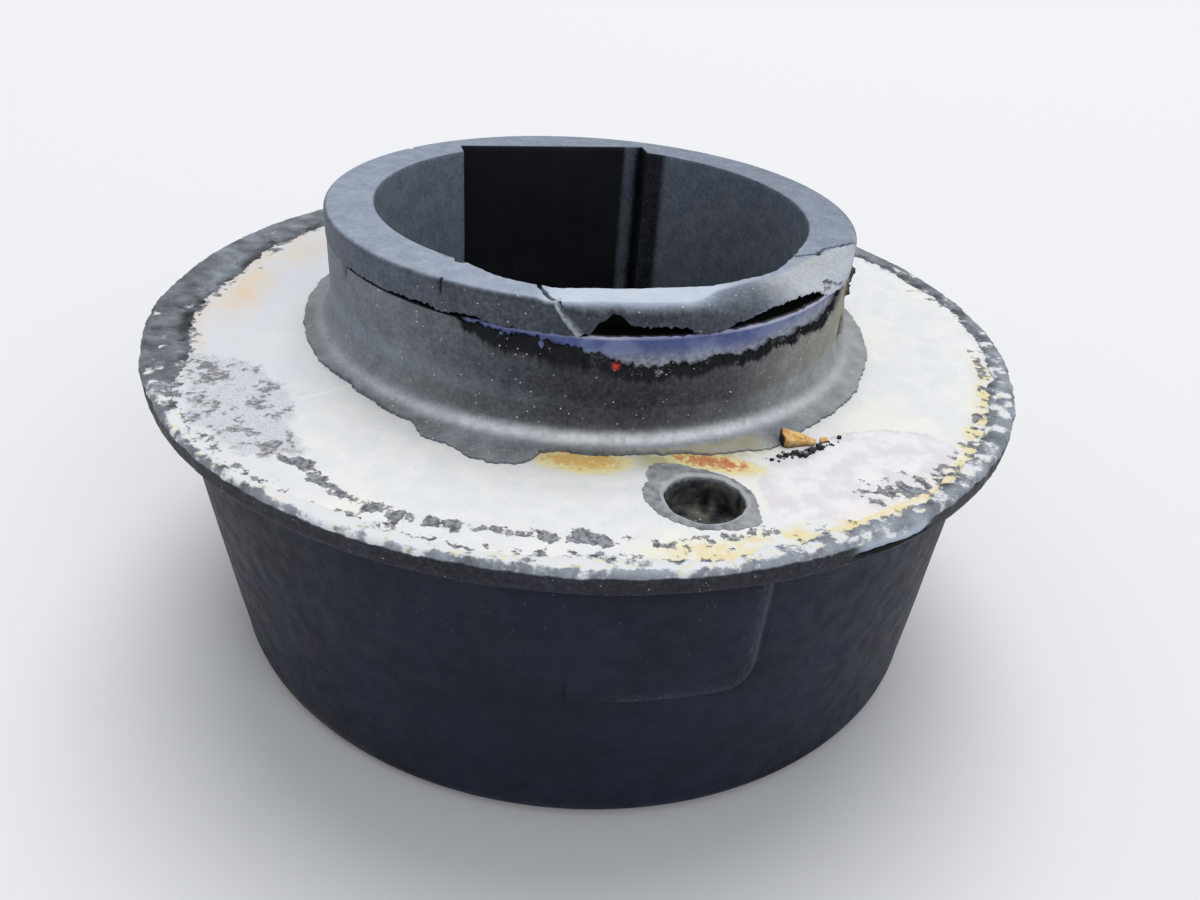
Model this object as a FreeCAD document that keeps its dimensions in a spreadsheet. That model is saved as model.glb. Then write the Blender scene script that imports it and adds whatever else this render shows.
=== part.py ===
import FreeCAD, Part
import math
import os

import Sketcher

# Engine mount: a bonded rubber-and-steel vibration isolator, one half of a sandwich pair.
#
# A pressed steel collar, a flat ring flange with an upturned neck tube, is moulded into one piece of rubber.
# The rubber fills the tapered body under the flange, wraps the flange's edge, runs up both sides of the
# neck tube and ends in a thick lip over the tube's end. A steel end plate with a bolt hole is bonded into
# the base. The part is worn: the thin rubber skin on the flange is nearly gone, the lip is split from the
# tube's end and cracked through, and a band of rubber has peeled off the neck.
#
# Frame: millimetres, +Z up along the bore, origin in the middle of the base. Angles are in degrees from +X,
# turning towards +Y. The locating hole and the split side of the lip face -Y.

SIZES = [
    # Collar
    ("flange_dia", 83.0, "flange, over the rubber round its edge"),
    ("flange_height", 30.6, "top face of the steel flange above the base"),
    ("plate_gauge", 1.4, "sheet that the collar is pressed from"),
    ("tube_dia", 48.2, "outside of the steel neck tube"),
    ("tube_rise", 9.0, "end of the steel tube above the flange"),
    ("root_radius", 2.6, "bend between the flange and the tube, on the top side"),
    # Rubber outside
    ("rim_overhang", 2.6, "flange's edge beyond the body wall's top"),
    ("wall_taper", 2.2, "body wall's top beyond its base, on the radius"),
    ("base_shift", 1.0, "sideways set that the rubber has taken at the base"),
    ("base_round", 1.9, "rounding of the bottom edge"),
    ("cove_radius", 2.0, "hollow corner between the wall and the rim"),
    ("rim_skin", 0.4, "rubber outside the plate's edge"),
    ("rim_under", 0.5, "rubber under the plate's edge"),
    ("rim_bevel", 0.4, "bevel of the rim's two edges"),
    # Rubber on the flange and neck
    ("top_skin", 0.25, "moulded skin on top of the flange"),
    ("neck_skin", 0.6, "skin on the outside of the tube"),
    ("foot_radius", 3.0, "hollow corner at the foot of the neck"),
    ("foot_land", 0.3, "skin left on the flange beyond that corner"),
    ("lip_height", 2.6, "rubber lip on the end of the tube"),
    ("lip_proud", 0.1, "how far the lip stands out beyond the neck below it"),
    ("lip_bevel", 0.4, "bevel of the lip's outer edge"),
    ("rim_band", 3.0, "mean width of the skin left along the flange's edge"),
    ("worn_shift_x", 1.1, "centre of the bare area, off the axis"),
    ("worn_shift_y", -0.6, "centre of the bare area, off the axis"),
    # Bore
    ("bore_lining", 2.4, "rubber inside the steel tube"),
    ("flat_inset", 0.4, "how far the flats stand in from the bore's radius"),
    ("flat_width", 20.4, "width of each flat"),
    ("flat_angle", -76.0, "direction that the near flat faces away from the axis"),
    ("floor_skin", 1.5, "rubber over the end plate at the bottom of the bore"),
    ("floor_hole_dia", 18.0, "hole in that skin"),
    # Locating hole
    ("pin_hole_dia", 6.0, "locating hole, inside its rubber lining"),
    ("pin_hole_gap", 8.5, "from the outside of the neck to its centre"),
    ("pin_hole_angle", -73.0, "its direction"),
    ("pin_hole_depth", 2.6, "its depth below the flange's top"),
    ("pin_lining", 0.4, "rubber between the pin and the plate"),
    ("pin_land_dia", 8.8, "skin left round the hole"),
    # Raised pad on the wall
    ("pad_angle", -84.4, "direction of its middle"),
    ("pad_span", 34.0, "its width, as an angle"),
    ("pad_drop", 15.2, "its lower edge below the flange's top"),
    ("pad_proud", 0.8, "its height off the wall"),
    ("pad_corner", 3.0, "radius of its lower corners"),
    ("pad_edge", 0.6, "rounding round its face"),
    # End plate
    ("base_margin", 3.7, "rubber round the end plate at the base"),
    ("end_plate_gauge", 3.0, "thickness of the end plate"),
    ("end_plate_chamfer", 0.4, "its edges"),
    ("bolt_hole_dia", 13.0, "clearance for a 12.7 mm bolt"),
    # Damage to the lip
    ("peel_from", -113.0, "bare band on the tube, first end"),
    ("peel_to", -24.0, "bare band, second end"),
    ("peel_drop", 2.1, "bare band's width below the tube's end"),
    ("split_from", -146.5, "lip split off the tube's end, first end"),
    ("split_to", -87.0, "that split's second end"),
    ("split_gap", 0.3, "its height"),
    ("split_depth", 1.6, "how far each split reaches in"),
    ("tear_from", -89.0, "open tear in the lip, first end"),
    ("tear_to", -69.0, "open tear, second end"),
    ("tear_peak", 1.9, "its height at its first end"),
    ("tear_lean", 0.55, "where its peak stands, as a share of its half length"),
    ("gape_from", -62.0, "second open stretch, first end"),
    ("gape_to", -37.0, "second open stretch, second end"),
    ("gape_gap", 0.7, "its height"),
    ("crack_width", 0.35, "both cracks through the lip"),
    ("crack_angle", -98.2, "crack beside the tear, where it leaves the bore"),
    ("crack_lean", 26.0, "how far that crack leans off the radius"),
    ("end_crack_angle", -23.0, "crack at the far end of the loose stretch"),
    ("end_crack_lean", 59.0, "how far that one leans off the radius"),
    ("end_crack_depth", 0.7, "its depth"),
]

ROUND_STEPS = 3  # flat steps in the rounding of the bottom edge

# Derived places, written once and used by every piece that meets there.
FLANGE_R = "(Sizes.flange_dia / 2)"
PLATE_R = "(Sizes.flange_dia / 2 - Sizes.rim_skin)"
WALL_TOP_R = "(Sizes.flange_dia / 2 - Sizes.rim_overhang)"
WALL_BASE_R = "(Sizes.flange_dia / 2 - Sizes.rim_overhang - Sizes.wall_taper)"
END_PLATE_R = f"({WALL_BASE_R} - Sizes.base_margin)"
TUBE_R = "Sizes.tube_dia / 2"
TUBE_IN_R = "(Sizes.tube_dia / 2 - Sizes.plate_gauge)"
NECK_R = "(Sizes.tube_dia / 2 + Sizes.neck_skin)"
LIP_R = f"({NECK_R} + Sizes.lip_proud)"
FOOT_R = f"({NECK_R} + Sizes.foot_radius)"
BORE_R = f"({TUBE_IN_R} - Sizes.bore_lining)"
TOP_Z = "Sizes.flange_height"
PLATE_UNDER_Z = "(Sizes.flange_height - Sizes.plate_gauge)"
SKIN_Z = "(Sizes.flange_height + Sizes.top_skin)"
RIM_UNDER_Z = "(Sizes.flange_height - Sizes.plate_gauge - Sizes.rim_under)"
WALL_TOP_Z = "(Sizes.flange_height - Sizes.plate_gauge - Sizes.rim_under - Sizes.cove_radius)"
TUBE_END_Z = "(Sizes.flange_height + Sizes.tube_rise)"
LIP_Z = "(Sizes.flange_height + Sizes.tube_rise + Sizes.lip_height)"
FLOOR_Z = "(Sizes.end_plate_gauge + Sizes.floor_skin)"
PIN_X = f"(({NECK_R} + Sizes.pin_hole_gap) * cos(Sizes.pin_hole_angle * 1 deg))"
PIN_Y = f"(({NECK_R} + Sizes.pin_hole_gap) * sin(Sizes.pin_hole_angle * 1 deg))"
PIN_LINING_R = "(Sizes.pin_hole_dia / 2 + Sizes.pin_lining)"

doc = FreeCAD.newDocument("engine_mount")
sheet = doc.addObject("Spreadsheet::Sheet", "Sizes")
for row, (alias, size, meaning) in enumerate(SIZES, start=1):
    sheet.set(f"A{row}", alias)
    sheet.set(f"B{row}", str(size))
    sheet.setAlias(f"B{row}", alias)
    sheet.set(f"C{row}", meaning)
doc.recompute()


def number(expression):
    """The present value of an expression."""
    found = sheet.evalExpression(expression)
    return float(getattr(found, "Value", found))


def new_body(name):
    body = doc.addObject("PartDesign::Body", name)
    body.Label = name
    return body


def new_sketch(body, name, plane, turn=None, lift=None):
    """A sketch on one of the body's own origin planes, turned about Z and lifted along Z by expressions."""
    sketch = body.newObject("Sketcher::SketchObject", name)
    support = [item for item in body.Origin.OriginFeatures if item.Role == plane][0]
    sketch.AttachmentSupport = (support, [""])
    sketch.MapMode = "FlatFace"
    if turn is not None:
        axis = FreeCAD.Vector(0, 0, 1) if plane == "XY_Plane" else FreeCAD.Vector(0, 1, 0)
        sketch.AttachmentOffset = FreeCAD.Placement(FreeCAD.Vector(), FreeCAD.Rotation(axis, number(turn)))
        sketch.setExpression("AttachmentOffset.Rotation.Angle", f"({turn}) * 1 deg")
    if lift is not None:
        along = "z" if plane == "XY_Plane" else "y"
        sketch.setExpression(f"AttachmentOffset.Base.{along}", lift)
    return sketch


def pin_point(sketch, edge, end, across, up):
    """Hold one end of an edge at the given expressions, measured from the sketch's origin."""
    for kind, axis, value in (("DistanceX", -2, across), ("DistanceY", -1, up)):
        if value == "0":
            sketch.addConstraint(Sketcher.Constraint("PointOnObject", edge, end, axis))
            continue
        index = sketch.addConstraint(Sketcher.Constraint(kind, -1, 1, edge, end, number(value)))
        sketch.setExpression(f"Constraints[{index}]", value)


def draw_outline(sketch, corners):
    """Close an outline through corners (across, up). A third entry makes the side that leaves a corner an arc
    of that radius: "+" in front turns it anticlockwise, "-" clockwise."""
    count = len(corners)
    places = [FreeCAD.Vector(number(c[0]), number(c[1]), 0) for c in corners]
    ends = []
    for index, corner in enumerate(corners):
        here, there = places[index], places[(index + 1) % count]
        if len(corner) == 2:
            sketch.addGeometry(Part.LineSegment(here, there), False)
            ends.append((1, 2))
            continue
        turn, radius = corner[2][0], corner[2][1:]
        size = number(radius)
        chord = there - here
        reach = math.sqrt(max(size * size - chord.Length ** 2 / 4, 0.0))
        side = FreeCAD.Vector(-chord.y, chord.x, 0).normalize() * (reach if turn == "+" else -reach)
        centre = (here + there) * 0.5 + side
        first, last = (here, there) if turn == "+" else (there, here)
        angles = [math.atan2(p.y - centre.y, p.x - centre.x) for p in (first, last)]
        circle = Part.Circle(centre, FreeCAD.Vector(0, 0, 1), size)
        sketch.addGeometry(Part.ArcOfCircle(circle, angles[0], angles[1]), False)
        ends.append((1, 2) if turn == "+" else (2, 1))
        held = sketch.addConstraint(Sketcher.Constraint("Radius", index, size))
        sketch.setExpression(f"Constraints[{held}]", radius)
    for index, corner in enumerate(corners):
        follower = (index + 1) % count
        joined = (index, ends[index][1], follower, ends[follower][0])
        sketch.addConstraint(Sketcher.Constraint("Coincident", *joined))
        pin_point(sketch, index, ends[index][0], corner[0], corner[1])


def draw_circle(sketch, radius, across="0", up="0"):
    centre = FreeCAD.Vector(number(across), number(up), 0)
    index = sketch.addGeometry(Part.Circle(centre, FreeCAD.Vector(0, 0, 1), number(radius)), False)
    held = sketch.addConstraint(Sketcher.Constraint("Radius", index, number(radius)))
    sketch.setExpression(f"Constraints[{held}]", radius)
    pin_point(sketch, index, 3, across, up)


def draw_box(sketch, left, low, right, high):
    draw_outline(sketch, [(left, low), (right, low), (right, high), (left, high)])


def add_feature(body, kind, name, sketch, **expressions):
    """A feature from a sketch. Its sizes are expressions, and it has to add or remove material."""
    doc.recompute()
    before = 0.0 if body.Shape.isNull() else body.Shape.Volume
    feature = body.newObject(kind, name)
    feature.Profile = sketch
    for key, value in expressions.items():
        if isinstance(value, str) and key != "Type":
            feature.setExpression(key, value)
        else:
            setattr(feature, key, value)
    body.Tip = feature
    doc.recompute()
    removes = kind.endswith(("Pocket", "Groove"))
    change = body.Shape.Volume - before
    if change == 0 or (change < 0) != removes:
        raise ValueError(f"{name} changes the volume of {body.Label} by {change:.3f} mm3")
    return feature


def spin(body, kind, name, sketch, angle=360.0):
    """Turn a sketch about Z, over a full circle or evenly to both sides."""
    options = {"ReferenceAxis": (sketch, ["V_Axis"]), "Midplane": angle != 360.0, "Angle": angle}
    return add_feature(body, f"PartDesign::{kind}", name, sketch, **options)


def round_edges(body, name, base, wanted, radius):
    """Fillet the edges of a feature that the test picks."""
    names = [f"Edge{i}" for i, edge in enumerate(base.Shape.Edges, start=1) if wanted(edge)]
    if not names:
        raise ValueError(f"{name} finds no edge")
    fillet = body.newObject("PartDesign::Fillet", name)
    fillet.Base = (base, names)
    fillet.setExpression("Radius", radius)
    body.Tip = fillet
    doc.recompute()
    return fillet


def collar_section(body, name):
    """Half section of the pressed sheet, which is also the room that the rubber leaves for it."""
    bend_r = f"({TUBE_R} + Sizes.root_radius)"
    bend_z = f"({TOP_Z} + Sizes.root_radius)"
    sketch = new_sketch(body, name, "XZ_Plane")
    draw_outline(sketch, [
        (PLATE_R, TOP_Z),
        (bend_r, TOP_Z, "-Sizes.root_radius"),
        (TUBE_R, bend_z),
        (TUBE_R, TUBE_END_Z),
        (TUBE_IN_R, TUBE_END_Z),
        (TUBE_IN_R, bend_z, "+Sizes.root_radius + Sizes.plate_gauge"),
        (bend_r, PLATE_UNDER_Z),
        (PLATE_R, PLATE_UNDER_Z),
    ])
    return sketch


def make_collar():
    body = new_body("flanged_collar")
    spin(body, "Revolution", "pressing", collar_section(body, "pressing_section"))
    hole = new_sketch(body, "locating_hole_circle", "XY_Plane", lift=TOP_Z)
    draw_circle(hole, PIN_LINING_R, PIN_X, PIN_Y)
    add_feature(body, "PartDesign::Pocket", "locating_hole", hole, Length="Sizes.plate_gauge")
    return body


def make_end_plate():
    body = new_body("end_plate")
    disc = new_sketch(body, "disc_outline", "XY_Plane")
    draw_circle(disc, END_PLATE_R)
    draw_circle(disc, "Sizes.bolt_hole_dia / 2")
    pad = add_feature(body, "PartDesign::Pad", "disc", disc, Length="Sizes.end_plate_gauge")
    hole_edge = [
        f"Edge{i}" for i, edge in enumerate(pad.Shape.Edges, start=1)
        if abs(edge.BoundBox.XLength - number("Sizes.bolt_hole_dia")) < 0.01 and edge.BoundBox.ZMax < 0.01
    ]
    chamfer = body.newObject("PartDesign::Chamfer", "bolt_hole_edge")
    chamfer.Base = (pad, hole_edge)
    chamfer.setExpression("Size", "Sizes.end_plate_chamfer")
    body.Tip = chamfer
    doc.recompute()
    return body


def add_wall(body):
    """The tapered body: a ruled loft that rounds the bottom edge in steps and leans over to the cove."""
    sections = []
    for step in range(ROUND_STEPS + 1):
        angle = f"{90 / ROUND_STEPS * step} deg"
        height = f"(Sizes.base_round * (1 - cos({angle})))"
        section = new_sketch(body, f"wall_section_{step}", "XY_Plane", lift=height)
        radius = f"{WALL_BASE_R} - Sizes.base_round * (1 - sin({angle}))"
        draw_circle(section, radius, f"Sizes.base_shift * (1 - {height} / {WALL_TOP_Z})", "0")
        sections.append(section)
    top = new_sketch(body, "wall_top", "XY_Plane", lift=WALL_TOP_Z)
    draw_circle(top, WALL_TOP_R)
    rest = [(section, [""]) for section in sections[1:] + [top]]
    add_feature(body, "PartDesign::AdditiveLoft", "wall", sections[0], Sections=rest, Ruled=True)


def add_pad(body):
    """The raised pad on the wall, under the flange on the side of the locating hole."""
    low_z = f"({TOP_Z} - Sizes.pad_drop)"
    low_r = f"({WALL_BASE_R} + {low_z} * Sizes.wall_taper / {WALL_TOP_Z})"
    high_r = WALL_TOP_R
    sketch = new_sketch(body, "pad_section", "XZ_Plane", turn="Sizes.pad_angle")
    draw_outline(sketch, [
        (f"{low_r} - 2 * Sizes.pad_proud", low_z),
        (f"{low_r} + Sizes.pad_proud", low_z),
        (f"{high_r} + Sizes.pad_proud", WALL_TOP_Z),
        (f"{high_r} - 2 * Sizes.pad_proud", WALL_TOP_Z),
    ])
    pad = spin(body, "Revolution", "pad", sketch, "Sizes.pad_span")
    low, proud = number(low_z), number("Sizes.pad_proud")

    def at_low_corner(edge):
        box = edge.BoundBox
        return abs(box.ZMin - low) < 0.01 and abs(box.ZMax - low) < 0.01 and edge.Length < 2 * proud

    corners = round_edges(body, "pad_corners", pad, at_low_corner, "Sizes.pad_corner")
    outside = number(low_r) + 0.8 * proud
    top = number(WALL_TOP_Z)

    def round_the_face(edge):
        radii = [math.hypot(v.X, v.Y) for v in edge.Vertexes]
        heights = [v.Z for v in edge.Vertexes]
        return min(radii) > outside and min(heights) < top - 0.01

    round_edges(body, "pad_face_edge", corners, round_the_face, "Sizes.pad_edge")


def add_rim_and_neck(body):
    """The bead round the flange's edge, the skin on the flange, the neck and its lip, before boring."""
    sketch = new_sketch(body, "rim_and_neck_section", "XZ_Plane")
    draw_outline(sketch, [
        ("0", WALL_TOP_Z),
        (WALL_TOP_R, WALL_TOP_Z, "-Sizes.cove_radius"),
        (f"{WALL_TOP_R} + Sizes.cove_radius", RIM_UNDER_Z),
        (f"{FLANGE_R} - Sizes.rim_bevel", RIM_UNDER_Z),
        (FLANGE_R, f"{RIM_UNDER_Z} + Sizes.rim_bevel"),
        (FLANGE_R, f"{SKIN_Z} - Sizes.rim_bevel"),
        (f"{FLANGE_R} - Sizes.rim_bevel", SKIN_Z),
        (FOOT_R, SKIN_Z, "-Sizes.foot_radius"),
        (NECK_R, f"{SKIN_Z} + Sizes.foot_radius"),
        (NECK_R, TUBE_END_Z),
        (LIP_R, TUBE_END_Z),
        (LIP_R, f"{LIP_Z} - Sizes.lip_bevel"),
        (f"{LIP_R} - Sizes.lip_bevel", LIP_Z),
        ("0", LIP_Z),
    ])
    spin(body, "Revolution", "rim_and_neck", sketch)


def cut_inside(body):
    """The room for the two steel pieces, the bore with its flats, and the hole in its floor."""
    spin(body, "Groove", "collar_seat", collar_section(body, "collar_seat_section"))

    seat = new_sketch(body, "end_plate_seat_circle", "XY_Plane")
    draw_circle(seat, END_PLATE_R)
    depth = "Sizes.end_plate_gauge"
    add_feature(body, "PartDesign::Pocket", "end_plate_seat", seat, Length=depth, Reversed=True)

    half_w, half_n = "Sizes.flat_width / 2", f"({BORE_R} - Sizes.flat_inset)"
    step = f"sqrt({BORE_R} ^ 2 - (Sizes.flat_width / 2) ^ 2)"
    bore = new_sketch(body, "bore_outline", "XY_Plane", turn="Sizes.flat_angle", lift=LIP_Z)
    draw_outline(bore, [
        (half_n, f"-{half_w}"),
        (half_n, half_w),
        (step, half_w, f"+{BORE_R}"),
        (f"-{step}", half_w),
        (f"-{half_n}", half_w),
        (f"-{half_n}", f"-{half_w}"),
        (f"-{step}", f"-{half_w}", f"+{BORE_R}"),
        (step, f"-{half_w}"),
    ])
    add_feature(body, "PartDesign::Pocket", "bore", bore, Length=f"{LIP_Z} - {FLOOR_Z}")

    floor_hole = new_sketch(body, "floor_hole_circle", "XY_Plane", lift=FLOOR_Z)
    draw_circle(floor_hole, "Sizes.floor_hole_dia / 2")
    add_feature(body, "PartDesign::Pocket", "floor_hole", floor_hole, Length="Sizes.floor_skin")


def line_locating_hole(body):
    """Rubber lines the locating hole through the plate and closes it below."""
    lining = new_sketch(body, "pin_lining_circle", "XY_Plane", lift=PLATE_UNDER_Z)
    draw_circle(lining, PIN_LINING_R, PIN_X, PIN_Y)
    add_feature(body, "PartDesign::Pad", "pin_lining", lining, Length=f"{SKIN_Z} - {PLATE_UNDER_Z}")
    land = new_sketch(body, "pin_land_circle", "XY_Plane", lift=TOP_Z)
    draw_circle(land, "Sizes.pin_land_dia / 2", PIN_X, PIN_Y)
    add_feature(body, "PartDesign::Pad", "pin_land", land, Length="Sizes.top_skin")
    hole = new_sketch(body, "pin_hole_circle", "XY_Plane", lift=SKIN_Z)
    draw_circle(hole, "Sizes.pin_hole_dia / 2", PIN_X, PIN_Y)
    add_feature(body, "PartDesign::Pocket", "pin_hole", hole, Length="Sizes.top_skin + Sizes.pin_hole_depth")


def wear_skin(body):
    """The skin on the flange is worn away, but for a band at the rim and the neck's foot."""
    bare = new_sketch(body, "bare_area", "XY_Plane", lift=SKIN_Z)
    draw_circle(bare, f"{FLANGE_R} - Sizes.rim_band", "Sizes.worn_shift_x", "Sizes.worn_shift_y")
    draw_circle(bare, f"{FOOT_R} + Sizes.foot_land")
    add_feature(body, "PartDesign::Pocket", "worn_skin", bare, Length="Sizes.top_skin")


def cut_round_neck(body, name, start, stop, corners):
    """A groove part of the way round the neck, from a section given as corners."""
    sketch = new_sketch(body, f"{name}_section", "XZ_Plane", turn=f"({start} + {stop}) / 2")
    draw_outline(sketch, corners)
    spin(body, "Groove", name, sketch, f"{stop} - {start}")


def split_lip(body):
    """The lip has parted from the tube's end, and the rubber below it has peeled off the tube."""
    past_r = f"{NECK_R} + Sizes.neck_skin"
    inner_r = f"{NECK_R} - Sizes.split_depth"
    peel_z = f"{TUBE_END_Z} - Sizes.peel_drop"
    cut_round_neck(body, "peeled_band", "Sizes.peel_from", "Sizes.peel_to", [
        (TUBE_R, peel_z), (past_r, peel_z), (past_r, TUBE_END_Z), (TUBE_R, TUBE_END_Z),
    ])
    for name, height in (("split", "Sizes.split_gap"), ("gape", "Sizes.gape_gap")):
        top_z = f"{TUBE_END_Z} + {height}"
        cut_round_neck(body, name, f"Sizes.{name}_from", f"Sizes.{name}_to", [
            (inner_r, TUBE_END_Z), (past_r, TUBE_END_Z), (past_r, top_z), (inner_r, top_z),
        ])


def tear_lip(body):
    """The open tear: a flat-bottomed notch cut in from the side, highest beside the crack."""
    middle = "((Sizes.tear_from + Sizes.tear_to) / 2)"
    half = f"({NECK_R} * sin((Sizes.tear_to - Sizes.tear_from) / 2 * 1 deg))"
    sketch = new_sketch(body, "tear_outline", "XZ_Plane", turn=f"{middle} + 90")
    draw_outline(sketch, [
        (f"-{half}", TUBE_END_Z),
        (half, TUBE_END_Z),
        (f"-{half} * Sizes.tear_lean", f"{TUBE_END_Z} + Sizes.tear_peak"),
    ])
    sketch.setExpression("AttachmentOffset.Base.z", f"{NECK_R} - Sizes.split_depth")
    add_feature(body, "PartDesign::Pocket", "tear", sketch, Length="2 * Sizes.split_depth", Reversed=True)


def crack_lip(body):
    """Two cracks across the lip, at the ends of its loose stretch."""
    half = "Sizes.crack_width / 2"
    for name, depth in (("crack", "Sizes.lip_height"), ("end_crack", "Sizes.end_crack_depth")):
        turn = f"Sizes.{name}_angle + Sizes.{name}_lean"
        sketch = new_sketch(body, f"{name}_line", "XY_Plane", turn=turn, lift=LIP_Z)
        near_x = f"({BORE_R} * cos(Sizes.{name}_lean * 1 deg) - 2 * Sizes.crack_width)"
        middle_y = f"-{BORE_R} * sin(Sizes.{name}_lean * 1 deg)"
        far_x = f"{near_x} + 2 * ({NECK_R} - {BORE_R})"
        draw_box(sketch, near_x, f"{middle_y} - {half}", far_x, f"{middle_y} + {half}")
        add_feature(body, "PartDesign::Pocket", name, sketch, Length=depth)


def make_rubber():
    body = new_body("rubber_body")
    add_wall(body)
    add_pad(body)
    add_rim_and_neck(body)
    cut_inside(body)
    wear_skin(body)
    line_locating_hole(body)
    split_lip(body)
    tear_lip(body)
    crack_lip(body)
    return body


pieces = [make_collar(), make_end_plate(), make_rubber()]
doc.recompute()
for item in doc.Objects:
    if "Invalid" in item.State or "Error" in item.State:
        raise ValueError(f"{item.Label} failed: {item.State}")
for piece in pieces:
    if piece.Shape.isNull() or not piece.Shape.isValid() or len(piece.Shape.Solids) != 1:
        raise ValueError(f"{piece.Label} is not one valid solid")

os.makedirs("parts", exist_ok=True)
for piece in pieces:
    piece.Shape.exportStep(f"parts/{piece.Label}.step")
    box = piece.Shape.BoundBox
    print(f"{piece.Label}: {piece.Shape.Volume:.1f} mm3, z {box.ZMin:.2f} to {box.ZMax:.2f}")
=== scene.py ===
import math

import bpy
import numpy as np
from mathutils import Matrix, Vector


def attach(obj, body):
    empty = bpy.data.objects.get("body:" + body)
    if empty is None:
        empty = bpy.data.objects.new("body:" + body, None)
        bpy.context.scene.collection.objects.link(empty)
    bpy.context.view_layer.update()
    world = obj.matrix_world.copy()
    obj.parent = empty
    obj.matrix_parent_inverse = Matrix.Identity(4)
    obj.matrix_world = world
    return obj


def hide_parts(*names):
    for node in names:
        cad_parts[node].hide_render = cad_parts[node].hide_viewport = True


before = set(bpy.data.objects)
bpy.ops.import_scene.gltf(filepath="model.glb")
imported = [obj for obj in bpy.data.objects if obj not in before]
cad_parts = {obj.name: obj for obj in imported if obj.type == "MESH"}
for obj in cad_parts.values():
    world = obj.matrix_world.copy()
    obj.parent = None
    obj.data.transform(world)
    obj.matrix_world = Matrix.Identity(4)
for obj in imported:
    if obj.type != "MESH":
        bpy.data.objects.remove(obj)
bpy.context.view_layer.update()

# A worn rubber engine mount in a plain studio. Each piece is a stack of rings about the upright axis. Masks
# written on its points tell the node materials where dust, tears, stains, bare steel and painted highlights,
# reflections and shade go; a mask that a piece lacks counts as 0. Sizes are in millimetres and angles in
# degrees about the upright axis; the cracked side of the lip is near -90.
MM = 0.001
DEGREE = math.radians(1.0)

PLATE_Z = 30.6        # top of the steel flange
PLATE_UNDER_Z = 29.2  # underside of the steel flange
PLATE_R = 41.1        # edge of the steel flange
ROOT_R = 26.7         # centre of the bend between flange and tube
BEND_Z = 33.2         # height where the bend meets the tube
BEND_UPPER = 2.6      # radius of the bend on its upper side
BEND_UNDER = 4.0      # radius of the bend on its underside
TUBE_R = 24.1         # outside of the steel tube
TUBE_IN_R = 22.7      # inside of the steel tube
TUBE_MID_R = 23.4     # middle of its wall
TUBE_END_Z = 39.6     # end of the steel tube

NECK_R = 24.7         # outside of the rubber neck
LIP_R = 24.75         # outside of the rubber lip
FOOT_BEND = 3.0       # rubber bend at the foot of the neck
SKIN_Z = 30.85        # top of the rubber skin on the flange
LIP_TOP_Z = 42.2      # top of the lip, before its slight tilt
LIP_TILT = 0.0167     # how much the lip rises toward the cracked side
LIP_ROUND_R = 24.40   # where the lip's flat top ends
SEAM_Z = 39.9         # where the lip tore from the neck
LINING_Z = 38.0       # where the neck's and the lip's pieces meet in the bore

BORE_R = 20.3         # round part of the bore
FLAT_OFF = 19.9       # distance of the bore's flats from the axis
FLAT_HALF = 10.2      # half of a flat's width
FLAT_DEG = -76.0      # direction of the nearer flat
FLAT_CORNER = math.atan2(FLAT_HALF, FLAT_OFF)   # where a flat ends, in radians off its middle
FLAT_LEAVE = math.asin(FLAT_HALF / BORE_R)      # where the step beside it meets the round bore
FLOOR_Z = 4.5         # floor of the bore
FLOOR_HOLE_R = 9.0    # hole in the rubber floor

END_PLATE_Z = 3.0     # thickness of the end plate
END_PLATE_R = 33.0    # edge of the end plate
BOLT_R = 6.5          # hole in the end plate

PIN_X, PIN_Y = 9.707, -31.749   # locating hole in the flange
PIN_R = 3.0
PIN_SEAT_R = 3.4      # hole in the steel, outside the rubber lining
PIN_FLOOR_Z = 28.0
PIN_UNDER_Z = 27.6    # underside of the lining

SEAT_R = 33.02        # inside of the wall, round the end plate
BASE_R = 34.8         # flat part of the base
BASE_ROUND = 1.9      # rounding between base and wall
WALL_R = 36.7         # wall above the rounding
WALL_SPREAD = 2.2     # how much the wall widens on its way up
WALL_TALL = 24.8      # height of the sloping wall
FLARE_Z = 26.7        # where the wall starts to flare to the rim
FLARE_R = 40.9
FLARE_BEND = 2.0
RIM_R = 41.5          # rim of the rubber round the flange
RIM_Z = 28.6          # foot of the rim
RIM_TALL = 1.8
BASE_SHIFT = 1.0      # how far the base leans toward +X
UNDER_R = 37.4        # hidden inside of the rim, clear of the locating hole
HIDDEN_R = 30.0       # hidden inside of the wall
NECK_HIDDEN_R = 28.6  # hidden outside of the neck's piece, under the flange

PAD_DEG = -84.4       # raised pad on the front of the wall
PAD_HALF_DEG = 17.0
PAD_R = 38.2          # radius at which the pad's width is measured
PAD_LOW_Z = 15.4
PAD_CORNER = 3.0
PAD_RISE = 0.8


# ---------------- small helpers

def ease(value, low, high):
    """A smooth step from 0 at low to 1 at high."""
    step = np.clip((value - low) / (high - low), 0.0, 1.0)
    return step * step * (3.0 - 2.0 * step)


def band(value, start, end, soft):
    """1 between start and end, with soft ends."""
    return ease(value, start - soft, start + soft) * (1.0 - ease(value, end - soft, end + soft))


def follow(deg, points):
    """A value set at a few directions and running straight between them, all the way round."""
    spots = sorted(points)
    return np.interp(deg, [spot[0] for spot in spots], [spot[1] for spot in spots], period=360.0)


def ripple(deg, low, high, seed, fall=0.7):
    """Seeded unevenness round the axis, with low to high waves in a full turn."""
    pick = np.random.default_rng(seed)
    angle = np.radians(deg)
    total = np.zeros_like(angle)
    power = 0.0
    for count in range(low, high + 1):
        size = (low / count) ** fall
        total += size * np.cos(count * angle + pick.uniform(0.0, 2.0 * math.pi))
        power += size * size / 2.0
    return total / math.sqrt(power)


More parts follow.
